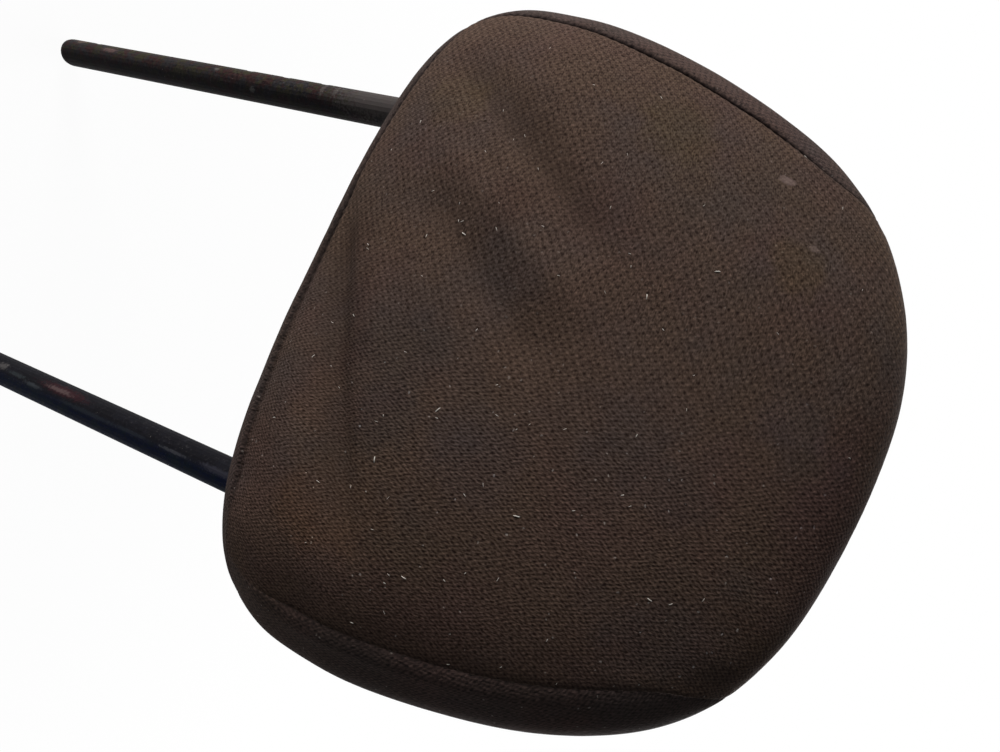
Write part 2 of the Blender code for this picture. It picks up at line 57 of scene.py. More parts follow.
# Cover panels: the CAD node each stands for, its slot and the way its knit runs up
PANELS = (
    ("cover_main_panel", "cover_knit", (0, 0, 1)),
    ("cover_rear_panel", "cover_knit", (0, 0, 1)),
    ("cover_left_side_panel", "side_knit", (0, 0, 1)),
    ("cover_right_side_panel", "side_knit", (0, 0, 1)),
    ("cover_bottom_front_flap", "side_knit", (0, 1, 0)),
    ("cover_bottom_rear_flap", "side_knit", (0, 1, 0)),
)
# Their numbers in that list
FRONT = 0
SIDES = (2, 3)
FRONT_FLAP = 4

# Points nearer than this are one point
MERGE = 0.00001
# Edges of the frame's panels nearer than this close up in the stuffed pad
SEAM_GAP = 0.0006
# Faces that turn by more than this, in degrees, belong to the panel's rim
RIM_ANGLE = 60
# Rounds of subdivision, and rounds that bring the fine surface back to the panel's own points
FINENESS = 4
AIM_ROUNDS = 4

# Stuffing: size of the pad's cells, how far it starts inside the cover, its pressure and its frames
VOXEL = 0.005
START_INSET = 0.0020
STUFFING_PRESSURE = 14.0
STUFFING_FRAMES = 20
# The most that it swells, how near to a seam it is held, and rounds and points that even it out
SWELL_CAP = 0.0040
SEAM_HOLD = 0.0070
SWELL_ROUNDS = 3
SWELL_POINTS = 6

# Cloth over the pad: how far it stands off, and how near to the foam it may sink
COVER_FULLNESS = 0.0006
DEEPEST = 0.0025

# Sewn seams: depth and reach of the sunk edge, its roundness, and the cloth turned in behind it
SEAM_DEPTH = 0.0019
SEAM_REACH = 0.0032
SEAM_ROUND = 0.98
SEAM_ALLOWANCE = 0.0015
# Edges that were cut nearer than this are sewn together
SEWN_GAP = 0.0012
# Share of the seams' depth that is lost on one side, along the bottom and over the top, and where
# along X or Z each loss sets in and is whole
FLUSH_SIDE, SIDE_SPAN = 0.75, (-0.020, 0.020)
FLUSH_LOW, LOW_SPAN = 0.4, (0.060, 0.030)
FLUSH_TOP, TOP_SPAN = 0.92, (0.105, 0.145)
# Where the seam has worked flat, at the cushion's lower corner
FLAT_CORNER = Vector((0.089, -0.036, 0.026))
FLAT_REACH = 0.022
# Below this tightness the pinch of the stitches and the lower roll fade out
LOOSE = 0.25

# Stitches: their pitch, how deep and how far each draws the cloth in, and the longest step along an edge
STITCH_PITCH = 0.0032
STITCH_PINCH = 0.00025
STITCH_REACH = 0.0030
LONGEST_STEP = 0.004
# Edges that lie nearer than this after closing take a stitch
STITCHED_GAP = 0.0004
# Share of the flat corner's reach that has no stitches, and share of a pitch that keeps two apart
UNSTITCHED = 0.8
APART = 0.7

# Puckers beside the seams: depth, pitch, how far they reach, and how near to the seam they are whole
PUCKER_DEPTH = 0.0004
PUCKER_PITCH = 0.0080
PUCKER_REACH = 0.014
PUCKER_CLEAR = 0.002
PUCKER_SEED = 20

# Unevenness of the whole cover: depth, pitch, and how near to a seam it is whole
RUMPLE_DEPTH = 0.0004
RUMPLE_PITCH = 0.035
RUMPLE_CLEAR = 0.02

# Soft rolls beside a seam: height, middle and half width
LOWER_FRONT_ROLL = (-0.0012, 0.0, 0.011)
LOWER_FLAP_ROLL = (0.0002, 0.006, 0.005)
SHADED_FRONT_ROLL = (-0.0005, 0.0, 0.005)
SHADED_SIDE_ROLL = (0.0008, 0.0045, 0.003)
# Where along X the lower and the shaded ones set in, and where along Z the shaded ones begin and end
LOWER_ROLL_SPAN = (-0.024, 0.016)
SHADED_SPAN = (0.050, 0.070)
SHADED_FROM, SHADED_UNTIL = (0.030, 0.050), (0.140, 0.090)

# Sewing thread: its sides, half thickness, length and height over the seam
THREAD_SIDES = 5
THREAD_RADIUS = 0.00020
THREAD_SPAN = 0.0023
THREAD_LIFT = -0.0001
# Along the stitch, lift and thickness of each ring of its thread
STITCH_BOW = ((-0.5, -1.2, 0.5), (-0.3, -0.1, 1.0), (0.0, 0.3, 1.0), (0.3, -0.1, 1.0), (0.5, -1.2, 0.5))

# Knit: spacing of its pits across and up, in staggered rows
PITS_ACROSS = 0.0037
PITS_UP = 0.0024

# Stage: how far the floor lies under the posts' tips, its size and its colour
FLOOR_DROP = 0.0005
FLOOR_SIZE = 40.0
FLOOR_COLOUR = (0.82, 0.82, 0.82, 1)
# The floor's whiteness to the camera, and how far from the middle it sets in and is whole
FLOOR_WHITE = (0.94, 1.0)
FLOOR_WHITENS = (0.10, 0.60)
ROOM_LIGHT = (0.062, 0.068, 0.080)
WHITE = (1, 1, 1)

# Lamps: name, place, what each points at, size, power and colour
LAMPS = (
    ("window", (-1.15, -0.75, 0.05), (0, 0, 0.06), 0.6, 30.4, WHITE),
    ("shade_fill", (1.0, -0.9, -0.02), (0, 0, 0.06), 1.0, 1.1, (0.80, 0.97, 1.0)),
    ("back_fill", (-0.6, 1.2, 0.7), (0, 0, 0.05), 1.2, 12.0, WHITE),
    ("far_side_fill", (0.55, 1.5, 0.05), (0, 0, 0.05), 1.0, 17.0, WHITE),
)

# Camera, from the photograph: its place, the way it looks, and its right-hand side
CAMERA_PLACE = (0.0531, -0.2268, 0.1642)
CAMERA_FORWARD = (-0.1705, 0.8990, -0.4034)
CAMERA_RIGHT = (-0.3809, 0.3174, 0.8684)
CAMERA_LENS = 28.44
CAMERA_FILM = 36.0
CAMERA_NEAREST = 0.01


# Handling objects

def select_only(piece):
    bpy.ops.object.select_all(action="DESELECT")
    piece.select_set(True)
    bpy.context.view_layer.objects.active = piece


def edit(piece, element="FACE"):
    select_only(piece)
    bpy.ops.object.mode_set(mode="EDIT")
    bpy.ops.mesh.select_mode(type=element)


def leave_edit():
    bpy.ops.object.mode_set(mode="OBJECT")


def new_piece(name, mesh):
    piece = bpy.data.objects.new(name, mesh)
    bpy.context.scene.collection.objects.link(piece)
    return piece


def apply_modifier(piece, modifier):
    select_only(piece)
    bpy.ops.object.modifier_apply(modifier=modifier.name)


def ramp(values, start, end):
    """0 at start and 1 at end, with an even slope between them."""
    return np.clip((values - start) / (end - start), 0, 1)


def points_of(piece):
    points = np.empty(len(piece.data.vertices) * 3)
    piece.data.vertices.foreach_get("co", points)
    return points.reshape(-1, 3)


def normals_of(piece):
    normals = np.empty(len(piece.data.vertices) * 3, np.float32)
    piece.data.vertex_normals.foreach_get("vector", normals)
    return normals.reshape(-1, 3).astype(float)


def move_points(piece, points):
    piece.data.vertices.foreach_set("co", points.ravel())
    piece.data.update()


# Cover panels from the frame

def outer_skin(node, name):
    """The outer face of a cover panel as a piece of its own, in four-sided cells."""
    piece = new_piece(name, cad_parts[node].data.copy())
    edit(piece)
    bpy.ops.mesh.select_all(action="SELECT")
    bpy.ops.mesh.remove_doubles(threshold=MERGE)
    bpy.ops.mesh.select_all(action="DESELECT")
    leave_edit()
    faces = piece.data.polygons
    outermost = max(faces, key=lambda face: face.normal.dot((face.center - HEART).normalized()))
    outermost.select = True
    edit(piece)
    bpy.ops.mesh.faces_select_linked_flat(sharpness=math.radians(RIM_ANGLE))
    bpy.ops.mesh.select_all(action="INVERT")
    bpy.ops.mesh.delete(type="FACE")
    bpy.ops.mesh.select_all(action="SELECT")
    bpy.ops.mesh.tris_convert_to_quads(face_threshold=math.pi, shape_threshold=math.pi)
    leave_edit()
    return piece


def lay_flat(piece, upward):
    """A cloth layout of the panel at true size in metres, its V running upward."""
    edit(piece)
    bpy.ops.mesh.select_all(action="SELECT")
    bpy.ops.uv.unwrap(method="CONFORMAL", margin=0.0)
    leave_edit()
    mesh = piece.data
    layer = mesh.uv_layers.active
    layer.name = "cloth"
    flat = np.empty(len(layer.uv) * 2, np.float32)
    layer.uv.foreach_get("vector", flat)
    flat = flat.reshape(-1, 2).astype(float)
    corners = np.empty(len(mesh.loops), int)
    mesh.loops.foreach_get("vertex_index", corners)
    along = points_of(piece)[corners] @ np.array(upward)
    flat -= flat.mean(0)
    slope = np.linalg.lstsq(flat, along - along.mean(), rcond=None)[0]
    turn = math.atan2(slope[0], slope[1])
    spin = np.array(((math.cos(turn), -math.sin(turn)), (math.sin(turn), math.cos(turn))))
    flat = flat @ spin.T
    size = math.sqrt(sum(face.area for face in mesh.polygons) / flat_area(mesh, flat))
    layer.uv.foreach_set("vector", (flat * size).astype(np.float32).ravel())


def flat_area(mesh, flat):
    total = 0.0
    for face in mesh.polygons:
        ring = flat[face.loop_start:face.loop_start + face.loop_total]
        after = np.roll(ring, -1, axis=0)
        total += abs((ring[:, 0] * after[:, 1] - after[:, 0] * ring[:, 1]).sum()) / 2
    return total


def finer_points(piece):
    """Where the piece's own points lie once it is subdivided."""
    bpy.context.view_layer.update()
    seen = piece.evaluated_get(bpy.context.evaluated_depsgraph_get())
    return points_of(seen)[:len(piece.data.vertices)]


def refine(piece):
    """Subdivides the panel, so that the fine surface still passes through its first points."""
    finer = piece.modifiers.new("finer", "SUBSURF")
    finer.levels = 1
    finer.boundary_smooth = "PRESERVE_CORNERS"
    aim = points_of(piece)
    held = aim.copy()
    for _ in range(AIM_ROUNDS):
        held += aim - finer_points(piece)
        move_points(piece, held)
    finer.levels = FINENESS
    finer.render_levels = FINENESS
    apply_modifier(piece, finer)


def open_edges(piece):
    """The edges that only one face uses."""
    uses = {}
    for face in piece.data.polygons:
        for key in face.edge_keys:
            uses[key] = uses.get(key, 0) + 1
    return [key for key, count in uses.items() if count == 1]


def edge_points(piece):
    """Indices of the points along the piece's open edges."""
    return sorted({point for key in open_edges(piece) for point in key})


def rim_of(piece):
    """The points along the open edges, in order, and how far round its edge each one lies."""
    beside = {}
    for first, second in open_edges(piece):
        beside.setdefault(first, []).append(second)
        beside.setdefault(second, []).append(first)
    places = points_of(piece)
    rim = []
    run = []
    left = set(beside)
    while left:
        point = min(left)
        length = 0.0
        while point is not None:
            left.discard(point)
            rim.append(point)
            run.append(length)
            after = next((other for other in beside[point] if other in left), None)
            if after is not None:
                length += float(np.linalg.norm(places[after] - places[point]))
            point = after
    return rim, np.array(run)


def tree_of(points):
    tree = KDTree(len(points))
    for index, point in enumerate(points):
        tree.insert(point, index)
    tree.balance()
    return tree


# Stuffed pad

def closed_form(skins):
    """The whole cushion's surface as one closed mesh, from copies of the panels."""
    mesh = bpy.data.meshes.new("stuffed_pad")
    joined = bmesh.new()
    for skin in skins:
        joined.from_mesh(skin.data)
    joined.to_mesh(mesh)
    joined.free()
    pad = new_piece("stuffed_pad", mesh)
    edit(pad, "VERT")
    bpy.ops.mesh.select_all(action="SELECT")
    bpy.ops.mesh.remove_doubles(threshold=SEAM_GAP)
    bpy.ops.mesh.fill_holes(sides=0)
    bpy.ops.mesh.select_all(action="SELECT")
    bpy.ops.mesh.normals_make_consistent(inside=False)
    leave_edit()
    return pad


def stuffed_pad(skins, seam_tree):
    """The swelling of the stuffed cushion: points on it, and how far each has moved outwards."""
    pad = closed_form(skins)
    select_only(pad)
    pad.data.remesh_voxel_size = VOXEL
    bpy.ops.object.voxel_remesh()
    move_points(pad, points_of(pad) - normals_of(pad) * START_INSET)
    start = points_of(pad)
    normals = normals_of(pad)
    held = pad.vertex_groups.new(name="sewn")
    for index, point in enumerate(start):
        away = seam_tree.find(point)[2] - START_INSET
        weight = min(max(1 - away / SEAM_HOLD, 0.0), 1.0)
        held.add([index], weight, "REPLACE")
    stuff(pad)
    swell = ((points_of(pad) - start) * normals).sum(1)
    swell = SWELL_CAP * np.tanh(swell / SWELL_CAP)
    swell = smoothed(pad, swell, SWELL_ROUNDS)
    bpy.data.objects.remove(pad)
    return start, swell


def stuff(pad):
    """Cloth under the foam's pressure, held along the seams."""
    cloth = pad.modifiers.new("stuffing", "CLOTH")
    settings = cloth.settings
    settings.use_pressure = True
    settings.uniform_pressure_force = STUFFING_PRESSURE
    settings.effector_weights.gravity = 0
    settings.vertex_group_mass = "sewn"
    for step in range(1, STUFFING_FRAMES + 1):
        bpy.context.scene.frame_set(step)
    apply_modifier(pad, cloth)
    bpy.context.scene.frame_set(1)


def smoothed(piece, values, rounds):
    """Values at the points, each averaged with its neighbours a few times."""
    pairs = np.array([edge.vertices[:] for edge in piece.data.edges])
    for _ in range(rounds):
        total = values.copy()
        count = np.ones(len(values))
        for first, second in ((0, 1), (1, 0)):
            np.add.at(total, pairs[:, first], values[pairs[:, second]])
            np.add.at(count, pairs[:, first], 1)
        values = total / count
    return values


# Shaping the cover

def swell_at(points, pad_tree, swell):
    """The stuffed pad's swelling under each point, from the nearest points of the pad."""
    found = []
    for point in points:
        near = pad_tree.find_n(point, SWELL_POINTS)
        weights = [1 / (away + VOXEL / 2) ** 2 for _, _, away in near]
        total = sum(weight * swell[index] for weight, (_, index, _) in zip(weights, near))
        found.append(total / sum(weights))
    return np.array(found)


def seam_sink(away):
    """How far the cloth rolls down into a seam at a distance from it."""
    near = ramp(away, SEAM_REACH, 0)
    return SEAM_DEPTH * (1 - np.sqrt(1 - near ** 2 * SEAM_ROUND))


def seam_tightness(points):
    """1 where a seam is drawn in hard, less where it lies nearly flush, 0 where it has worked flat."""
    flush_side = FLUSH_SIDE * ramp(points[:, 0], *SIDE_SPAN)
    flush_low = FLUSH_LOW * ramp(points[:, 2], *LOW_SPAN)
    flush_top = FLUSH_TOP * ramp(points[:, 2], *TOP_SPAN)
    drawn = 1 - np.maximum(np.maximum(flush_side, flush_low), flush_top)
    from_corner = np.linalg.norm(points - np.array(FLAT_CORNER), axis=1)
    return drawn * ramp(from_corner, FLAT_REACH / 2, FLAT_REACH)


def rolled(away, roll):
    """Height of a soft roll at a distance from the seam."""
    height, middle, width = roll
    return height * np.exp(-((away - middle) / width) ** 2)


def lower_roll(points, away, number):
    """How far the pad rolls over the bottom seam: the front drawn in and the flap pushed out."""
    low = ramp(points[:, 2], *LOW_SPAN) * (points[:, 1] < HEART.y)
    low *= ramp(points[:, 0], *LOWER_ROLL_SPAN)
    if number == FRONT:
        return low * rolled(away, LOWER_FRONT_ROLL)
    if number == FRONT_FLAP:
        return low * rolled(away, LOWER_FLAP_ROLL)
    return 0


def side_roll(points, away, number):
    """How far the shaded side seam sits in a soft groove: the front drawn in and the side rolled out."""
    shaded = ramp(points[:, 0], *SHADED_SPAN) * (points[:, 1] < HEART.y)
    shaded *= ramp(points[:, 2], *SHADED_FROM) * ramp(points[:, 2], *SHADED_UNTIL)
    if number == FRONT:
        return shaded * rolled(away, SHADED_FRONT_ROLL)
    if number in SIDES:
        return shaded * rolled(away, SHADED_SIDE_ROLL)
    return 0


def stitch_pinch(away, along):
    """How far each stitch draws the cloth down beside the seam."""
    pull = np.abs(np.cos(math.pi * along / STITCH_PITCH)) ** 3
    return STITCH_PINCH * pull * ramp(away, STITCH_REACH, 0)


# Share of a fold's length over which it fades out at each end
FOLD_FADE = 0.25


def crease(points, start, end, width):
    """1 along a soft line on the front from start to end (x, z), fading beside it and at its ends."""
    start = np.array(start)
    run = np.array(end) - start
    place = points[:, (0, 2)] - start
    along = place @ run / (run @ run)
    beside = (place[:, 0] * run[1] - place[:, 1] * run[0]) / math.sqrt(run @ run)
    reach = np.where(beside > 0, width[0], width[1])
    fade = ramp(along, 0, FOLD_FADE) * ramp(along, 1, 1 - FOLD_FADE)
    fade = fade * fade * (3 - 2 * fade)
    return np.exp(-(beside / reach) ** 2) * fade


# Soft lines on the front, as (x, z) ends, half widths below and above them, and depth:
# valleys above zero, ridges below
FRONT_LINES = (
    ((-0.052, -0.004), (0.081, 0.063), (0.0090, 0.0042), 0.0028),
    ((-0.075, 0.024), (-0.018, 0.102), (0.0060, 0.0075), 0.0019),
    ((-0.046, 0.031), (-0.001, 0.098), (0.0060, 0.0055), -0.0013),
    ((-0.029, 0.034), (0.016, 0.096), (0.0070, 0.0055), 0.0012),
)
# Folds flatten within this distance of a seam, down to this share of their depth
FOLD_CLEAR = 0.012
FOLD_AT_SEAM = 0.2

# Places where the worn pad has slumped in or pushed out, as (x, z), reach and depth
SLUMPS = (
    ((0.038, 0.174), 0.028, 0.0021),
    ((-0.100, 0.112), 0.036, 0.0019),
    ((-0.030, 0.172), 0.032, -0.0012),
    ((-0.094, 0.030), 0.026, -0.0010),
    ((0.090, 0.146), 0.020, -0.0008),
)


def front_relief(points):
    """How far the front's soft folds sink."""
    total = np.zeros(len(points))
    for start, end, width, depth in FRONT_LINES:
        total += depth * crease(points, start, end, width)
    return total * (points[:, 1] < HEART.y)


def slump(points):
    """How far the worn pad has sunk under each point."""
    total = np.zeros(len(points))
    for place, reach, depth in SLUMPS:
        away = np.hypot(points[:, 0] - place[0], points[:, 2] - place[1])
        total += depth * np.exp(-(away / reach) ** 2)
    return total


def rumple(points, scale, seed):
    """Gentle unevenness, from -1 to 1."""
    shift = Vector((seed, seed * 2, seed * 3))
    return np.array([noise.noise(Vector(point) / scale + shift) for point in points])


def shape_panel(piece, pad_tree, swell, number):
    """Swells the panel with the pad and sinks its edges, folds and puckers."""
    points = points_of(piece)
    normals = normals_of(piece)
    rim, run = rim_of(piece)
    rim_tree = tree_of(points[rim])
    found = [rim_tree.find(point) for point in points]
    away = np.array([item[2] for item in found])
    along = run[[item[1] for item in found]]
    out = swell_at(points, pad_tree, swell) + COVER_FULLNESS - slump(points)
    tightness = seam_tightness(points)
    out -= seam_sink(away) * tightness
    held = ramp(tightness, 0, LOOSE)
    out -= stitch_pinch(away, along) * held
    out += lower_roll(points, away, number) * held
    out += side_roll(points, away, number)
    folds = front_relief(points) if number == FRONT else np.zeros(len(points))
    folds *= np.clip(away / FOLD_CLEAR, FOLD_AT_SEAM, 1)
    out -= folds
    out += RUMPLE_DEPTH * rumple(points, RUMPLE_PITCH, number) * ramp(away, 0, RUMPLE_CLEAR)
    near_seam = ramp(away, PUCKER_REACH, 0) ** 2 * ramp(away, 0, PUCKER_CLEAR)
    out += PUCKER_DEPTH * rumple(points, PUCKER_PITCH, PUCKER_SEED) * near_seam
    out = np.maximum(out, -DEEPEST)
    move_points(piece, points + normals * out[:, None])
    store(piece, "seam_distance", away)
    store(piece, "seam_pull", tightness)
    store(piece, "fold_depth", folds)
    return rim


def store(piece, name, values):
    attribute = piece.data.attributes.new(name, "FLOAT", "POINT")
    attribute.data.foreach_set("value", values.astype(np.float32))


def close_seams(pieces, rims, cut):
    """Brings the edges that were cut to meet together, halfway between where they have moved to."""
    places = [points_of(piece) for piece in pieces]
    trees = [tree_of(panel[rim]) for panel, rim in zip(cut, rims)]
    moved = [place.copy() for place in places]
    for number, rim in enumerate(rims):
        for point in rim:
            meeting = [places[number][point]]
            for other, tree in enumerate(trees):
                near = tree.find_n(cut[number][point], 2)
                if other == number or near[0][2] > SEWN_GAP:
                    continue
                weights = np.array([1 / (away + MERGE) for _, _, away in near])
                ends = np.array([places[other][rims[other][index]] for _, index, _ in near])
                meeting.append(weights @ ends / weights.sum())
            moved[number][point] = sum(meeting) / len(meeting)
    for piece, place in zip(pieces, moved):
        move_points(piece, place)


def turn_in_edges(piece):
    """Extrudes the panel's open edges inwards, as the sewn allowance."""
    bm = bmesh.new()
    bm.from_mesh(piece.data)
    bm.normal_update()
    rim = [edge for edge in bm.edges if edge.is_boundary]
    inward = {vert: -vert.normal.copy() for edge in rim for vert in edge.verts}
    made = bmesh.ops.extrude_edge_only(bm, edges=rim)["geom"]
    fresh = [item for item in made if isinstance(item, bmesh.types.BMVert)]
    starts = tree_of([vert.co for vert in inward])
    directions = list(inward.values())
    for vert in fresh:
        vert.co += directions[starts.find(vert.co)[1]] * SEAM_ALLOWANCE
    bm.to_mesh(piece.data)
    bm.free()


def stitch_line(pieces, rims):
    """Places along the sewn seams, one stitch apart, each with the seam's direction and outward side."""
    taken = []
    line = []
    places = [points_of(piece) for piece in pieces]
    facing = [normals_of(piece) for piece in pieces]
    trees = [tree_of(place[rim]) for place, rim in zip(places, rims)]
    for number, rim in enumerate(rims):
        travelled = STITCH_PITCH
        for first, second in zip(rim, rim[1:]):
            here = places[number][first]
            step = places[number][second] - here
            length = float(np.linalg.norm(step))
            if length > LONGEST_STEP or length == 0:
                travelled = STITCH_PITCH
                continue
            travelled += length
            others = [tree.find(here)[2] for other, tree in enumerate(trees) if other != number]
            if travelled < STITCH_PITCH or min(others) > STITCHED_GAP:
                continue
            if (Vector(here) - FLAT_CORNER).length < FLAT_REACH * UNSTITCHED:
                continue
            if taken and min(np.linalg.norm(np.array(taken) - here, axis=1)) < STITCH_PITCH * APART:
                continue
            travelled = 0.0
            taken.append(here)
            line.append((Vector(here), Vector(step / length), Vector(facing[number][first])))
    return line


def stitches(line):
    """Thread lying in the seams: one short bowed stitch at each place."""
    bm = bmesh.new()
    for here, ahead, outward in line:
        add_thread(bm, here + outward * THREAD_LIFT, ahead, outward, THREAD_SPAN, THREAD_RADIUS)
    finish_thread(bm, "seam_stitches", sewing_thread())


# Fibres and specks of lint seen on the front, as (x, z)
LINT_PLACES = (
    (-0.0159, 0.0563), (-0.0174, 0.1067), (0.0321, 0.0693), (-0.0319, 0.1207), (0.0502, 0.0588),
    (0.0561, 0.1322), (0.0750, 0.0756), (0.0496, 0.0965),
)
LINT_COUNT = 90
LINT_SEED = 11
# Where the rest of it lies: least, most and likeliest x, then z
LINT_ACROSS = (-0.105, 0.105, 0.060)
LINT_UP = (0.005, 0.170, 0.060)
# Length and half thickness of the fibres seen in the photograph, and of the rest
FIBRE_SEEN = ((0.0010, 0.0018), (0.00012, 0.00015))
FIBRE_FINE = ((0.0004, 0.0012), (0.00005, 0.00009))


def lint_fibres(front):
    """Short pale fibres lying on the front, more of them on its dirtier half."""
    chance = random.Random(LINT_SEED)
    points = [vert.co for vert in front.data.vertices]
    cloth = BVHTree.FromPolygons(points, [face.vertices for face in front.data.polygons])
    bm = bmesh.new()
    places = list(LINT_PLACES)
    while len(places) < LINT_COUNT:
        places.append((chance.triangular(*LINT_ACROSS), chance.triangular(*LINT_UP)))
    for number, (x, z) in enumerate(places):
        here, outward, _, _ = cloth.ray_cast(Vector((x, -0.5, z)), Vector((0, 1, 0)))
        if here is None:
            continue
        turn = chance.uniform(0, 2 * math.pi)
        first = outward.orthogonal().normalized()
        ahead = first * math.cos(turn) + outward.cross(first) * math.sin(turn)
        lengths, thicknesses = FIBRE_SEEN if number < len(LINT_PLACES) else FIBRE_FINE
        length = chance.uniform(*lengths)
        thick = chance.uniform(*thicknesses)
        add_thread(bm, here + outward * thick, ahead, outward, length, thick)
    finish_thread(bm, "lint", pale_fibre())


def add_thread(bm, here, ahead, outward, length, thick):
    """One short bowed length of thread in the mesh."""
    side = ahead.cross(outward).normalized()
    outward = side.cross(ahead).normalized()
    rings = []
    for along, lift, width in STITCH_BOW:
        centre = here + ahead * along * length + outward * lift * thick
        ring = []
        for corner in range(THREAD_SIDES):
            turn = corner * 2 * math.pi / THREAD_SIDES
            spoke = side * math.cos(turn) + outward * math.sin(turn)
            ring.append(bm.verts.new(centre + spoke * thick * width))
        rings.append(ring)
    for low, high in zip(rings, rings[1:]):
        for corner in range(THREAD_SIDES):
            after = (corner + 1) % THREAD_SIDES
            bm.faces.new((low[corner], low[after], high[after], high[corner]))
    bm.faces.new(rings[0][::-1])
    bm.faces.new(rings[-1])


def finish_thread(bm, name, finish):
    """Makes the lengths of thread one piece, which belongs to the cover."""
    bmesh.ops.recalc_face_normals(bm, faces=bm.faces)
    mesh = bpy.data.meshes.new(name)
    bm.to_mesh(mesh)
    bm.free()
    piece = new_piece(name, mesh)
    mesh.shade_smooth()
    mesh.materials.append(finish)
    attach(piece, "root")


def cover():
    """All six panels of the cover, fitted over the stuffed pad."""
    skins = []
    for node, _, upward in PANELS:
        skin = outer_skin(node, node + "_cloth")
        lay_flat(skin, upward)
        skins.append(skin)
    coarse_rims = [points_of(skin)[edge_points(skin)] for skin in skins]
    pad_points, swell = stuffed_pad(skins, tree_of(np.concatenate(coarse_rims)))
    pad_tree = tree_of(pad_points)
    rims = []
    cut = []
    for number, skin in enumerate(skins):
        refine(skin)
        cut.append(points_of(skin))
        rims.append(shape_panel(skin, pad_tree, swell, number))
    close_seams(skins, rims, cut)
    stitches(stitch_line(skins, rims))
    lint_fibres(skins[0])
    for skin, (node, slot, _) in zip(skins, PANELS):
        turn_in_edges(skin)
        skin.data.shade_smooth()
        skin.data.materials.clear()
        skin.data.materials.append(knit(slot, slot == "side_knit"))
        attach(skin, "root")
        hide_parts(node)


# Material building

def add(tree, kind, **settings):
    made = tree.nodes.new("ShaderNode" + kind)
    for name, value in settings.items():
        setattr(made, name, value)
    return made


def feed(tree, socket, value):
    """Joins an output to a socket, or writes a plain value on the socket."""
    if isinstance(value, bpy.types.NodeSocket):
        tree.links.new(value, socket)
    else:
        socket.default_value = value


def figure(tree, operation, *values):
    made = add(tree, "Math", operation=operation)
    for socket, value in zip(made.inputs, values):
        feed(tree, socket, value)
    return made.outputs[0]


def figure_each(tree, operation, *values):
    """The same on all three parts of a place at once."""
    made = add(tree, "VectorMath", operation=operation)
    for socket, value in zip(made.inputs, values):
        feed(tree, socket, value)
    return made.outputs["Value" if operation == "LENGTH" else "Vector"]


def split(tree, value):
    """The three parts of a place or a colour."""
    made = add(tree, "SeparateXYZ")
    feed(tree, made.inputs[0], value)
    return made.outputs


def own_place(tree):
    """Where a point lies on the part, in metres."""
    return add(tree, "TexCoord").outputs["Object"]


def between(tree, value, low, high, start=0.0, end=1.0):
    """Value's place between low and high, carried over to start and end."""
    made = add(tree, "MapRange", interpolation_type="SMOOTHSTEP")
    for socket, item in zip(made.inputs, (value, low, high, start, end)):
        feed(tree, socket, item)
    return made.outputs[0]


def blended(tree, amount, first, second, mode="MIX"):
    made = add(tree, "Mix", data_type="RGBA", blend_type=mode)
    colours = [socket for socket in made.inputs if socket.type == "RGBA"]
    feed(tree, made.inputs[0], amount)
    for socket, colour in zip(colours, (first, second)):
        feed(tree, socket, colour if isinstance(colour, bpy.types.NodeSocket) else (*colour, 1))
    return next(socket for socket in made.outputs if socket.type == "RGBA")


def grain(tree, where, scale, detail=2.0, roughness=0.5):
    made = add(tree, "TexNoise")
    feed(tree, made.inputs["Vector"], where)
    made.inputs["Scale"].default_value = scale
    made.inputs["Detail"].default_value = detail
    made.inputs["Roughness"].default_value = roughness
    return made


def new_material(name):
    made = bpy.data.materials.new(name)
    made.use_nodes = True
    tree = made.node_tree
    return made, tree, tree.nodes["Principled BSDF"]


def raised(tree, shader, height, distance):
    bump = add(tree, "Bump")
    bump.inputs["Strength"].default_value = 1.0
    bump.inputs["Distance"].default_value = distance
    feed(tree, bump.inputs["Height"], height)
    feed(tree, shader.inputs["Normal"], bump.outputs[0])


# Knit

# Light and deep colour of the yarn, on the front and on the sides; as the colour follows the knit's
# height, the deep colour is painted shade in the pits and the light colour a painted highlight on the
# raised loops and strokes
YARN = (0.100, 0.064, 0.046)
YARN_PIT_SHADE = (0.014, 0.008, 0.006)
SIDE_YARN = (0.064, 0.044, 0.038)
SIDE_YARN_PIT_SHADE = (0.012, 0.009, 0.008)
# Heights at which the yarn goes from its painted shade in the pits to its painted highlight on top
YARN_SHADE_SPAN = (0.20, 1.15)
CLOTH_ROUGH = 0.95
CLOTH_SHINE = 0.05
KNIT_RELIEF = 0.00028

# How the rows wander: amount and scale of the noise
FINE_WANDER = (0.0008, 300.0)
BROAD_WANDER = (0.005, 24.0)
# Where along X the knit changes from the look of one half to that of the other
HALF_CHANGE = (-0.020, 0.045)
# Weights in the knit's height: loops and pits on either half, then the whole, strokes and single loops,
# which are lifted at random into painted highlights
LOOP_HEIGHTS = (-0.10, -0.18)
PIT_HEIGHTS = (-0.14, -0.09)
BASE_HEIGHT = 0.14
STROKE_HEIGHT = 0.85
LOOP_GLINT_HEIGHT = 0.12
# Strokes of yarn: how closely they lie along the cloth's U and V, on either half
STROKES = ((800.0, 2500.0, 1.0), (2100.0, 1000.0, 1.0))

# Painted shade in the folds: fold depth at which it is whole, its strength, and its share of the yarn's
# colour
FOLD_SHADE_DEPTH = 0.0024
FOLD_SHADE_STRENGTH = 0.35
FOLD_SHADE_SHARE = 0.3
# Specks worked into the knit: cells to a metre, share of cells, size in a cell and share that is whole
SPECKS = (700.0, 0.022, 0.24)
SPECK_CORE = 0.4
# The noise that makes their outlines ragged, and their colour
SPECK_WANDER = (0.0012, 900.0)
SPECK_COLOUR = (0.19, 0.16, 0.14)
# Their strength from the first half to the second
SPECK_SPREAD = (0.2, 1.0, 0.25, 0.9)
# Grime along the seams: distance and strength where it is whole and where it ends
GRIME_SPREAD = (0.0003, 0.0016, 0.75, 0.0)
GRIME = (0.006, 0.004, 0.004)

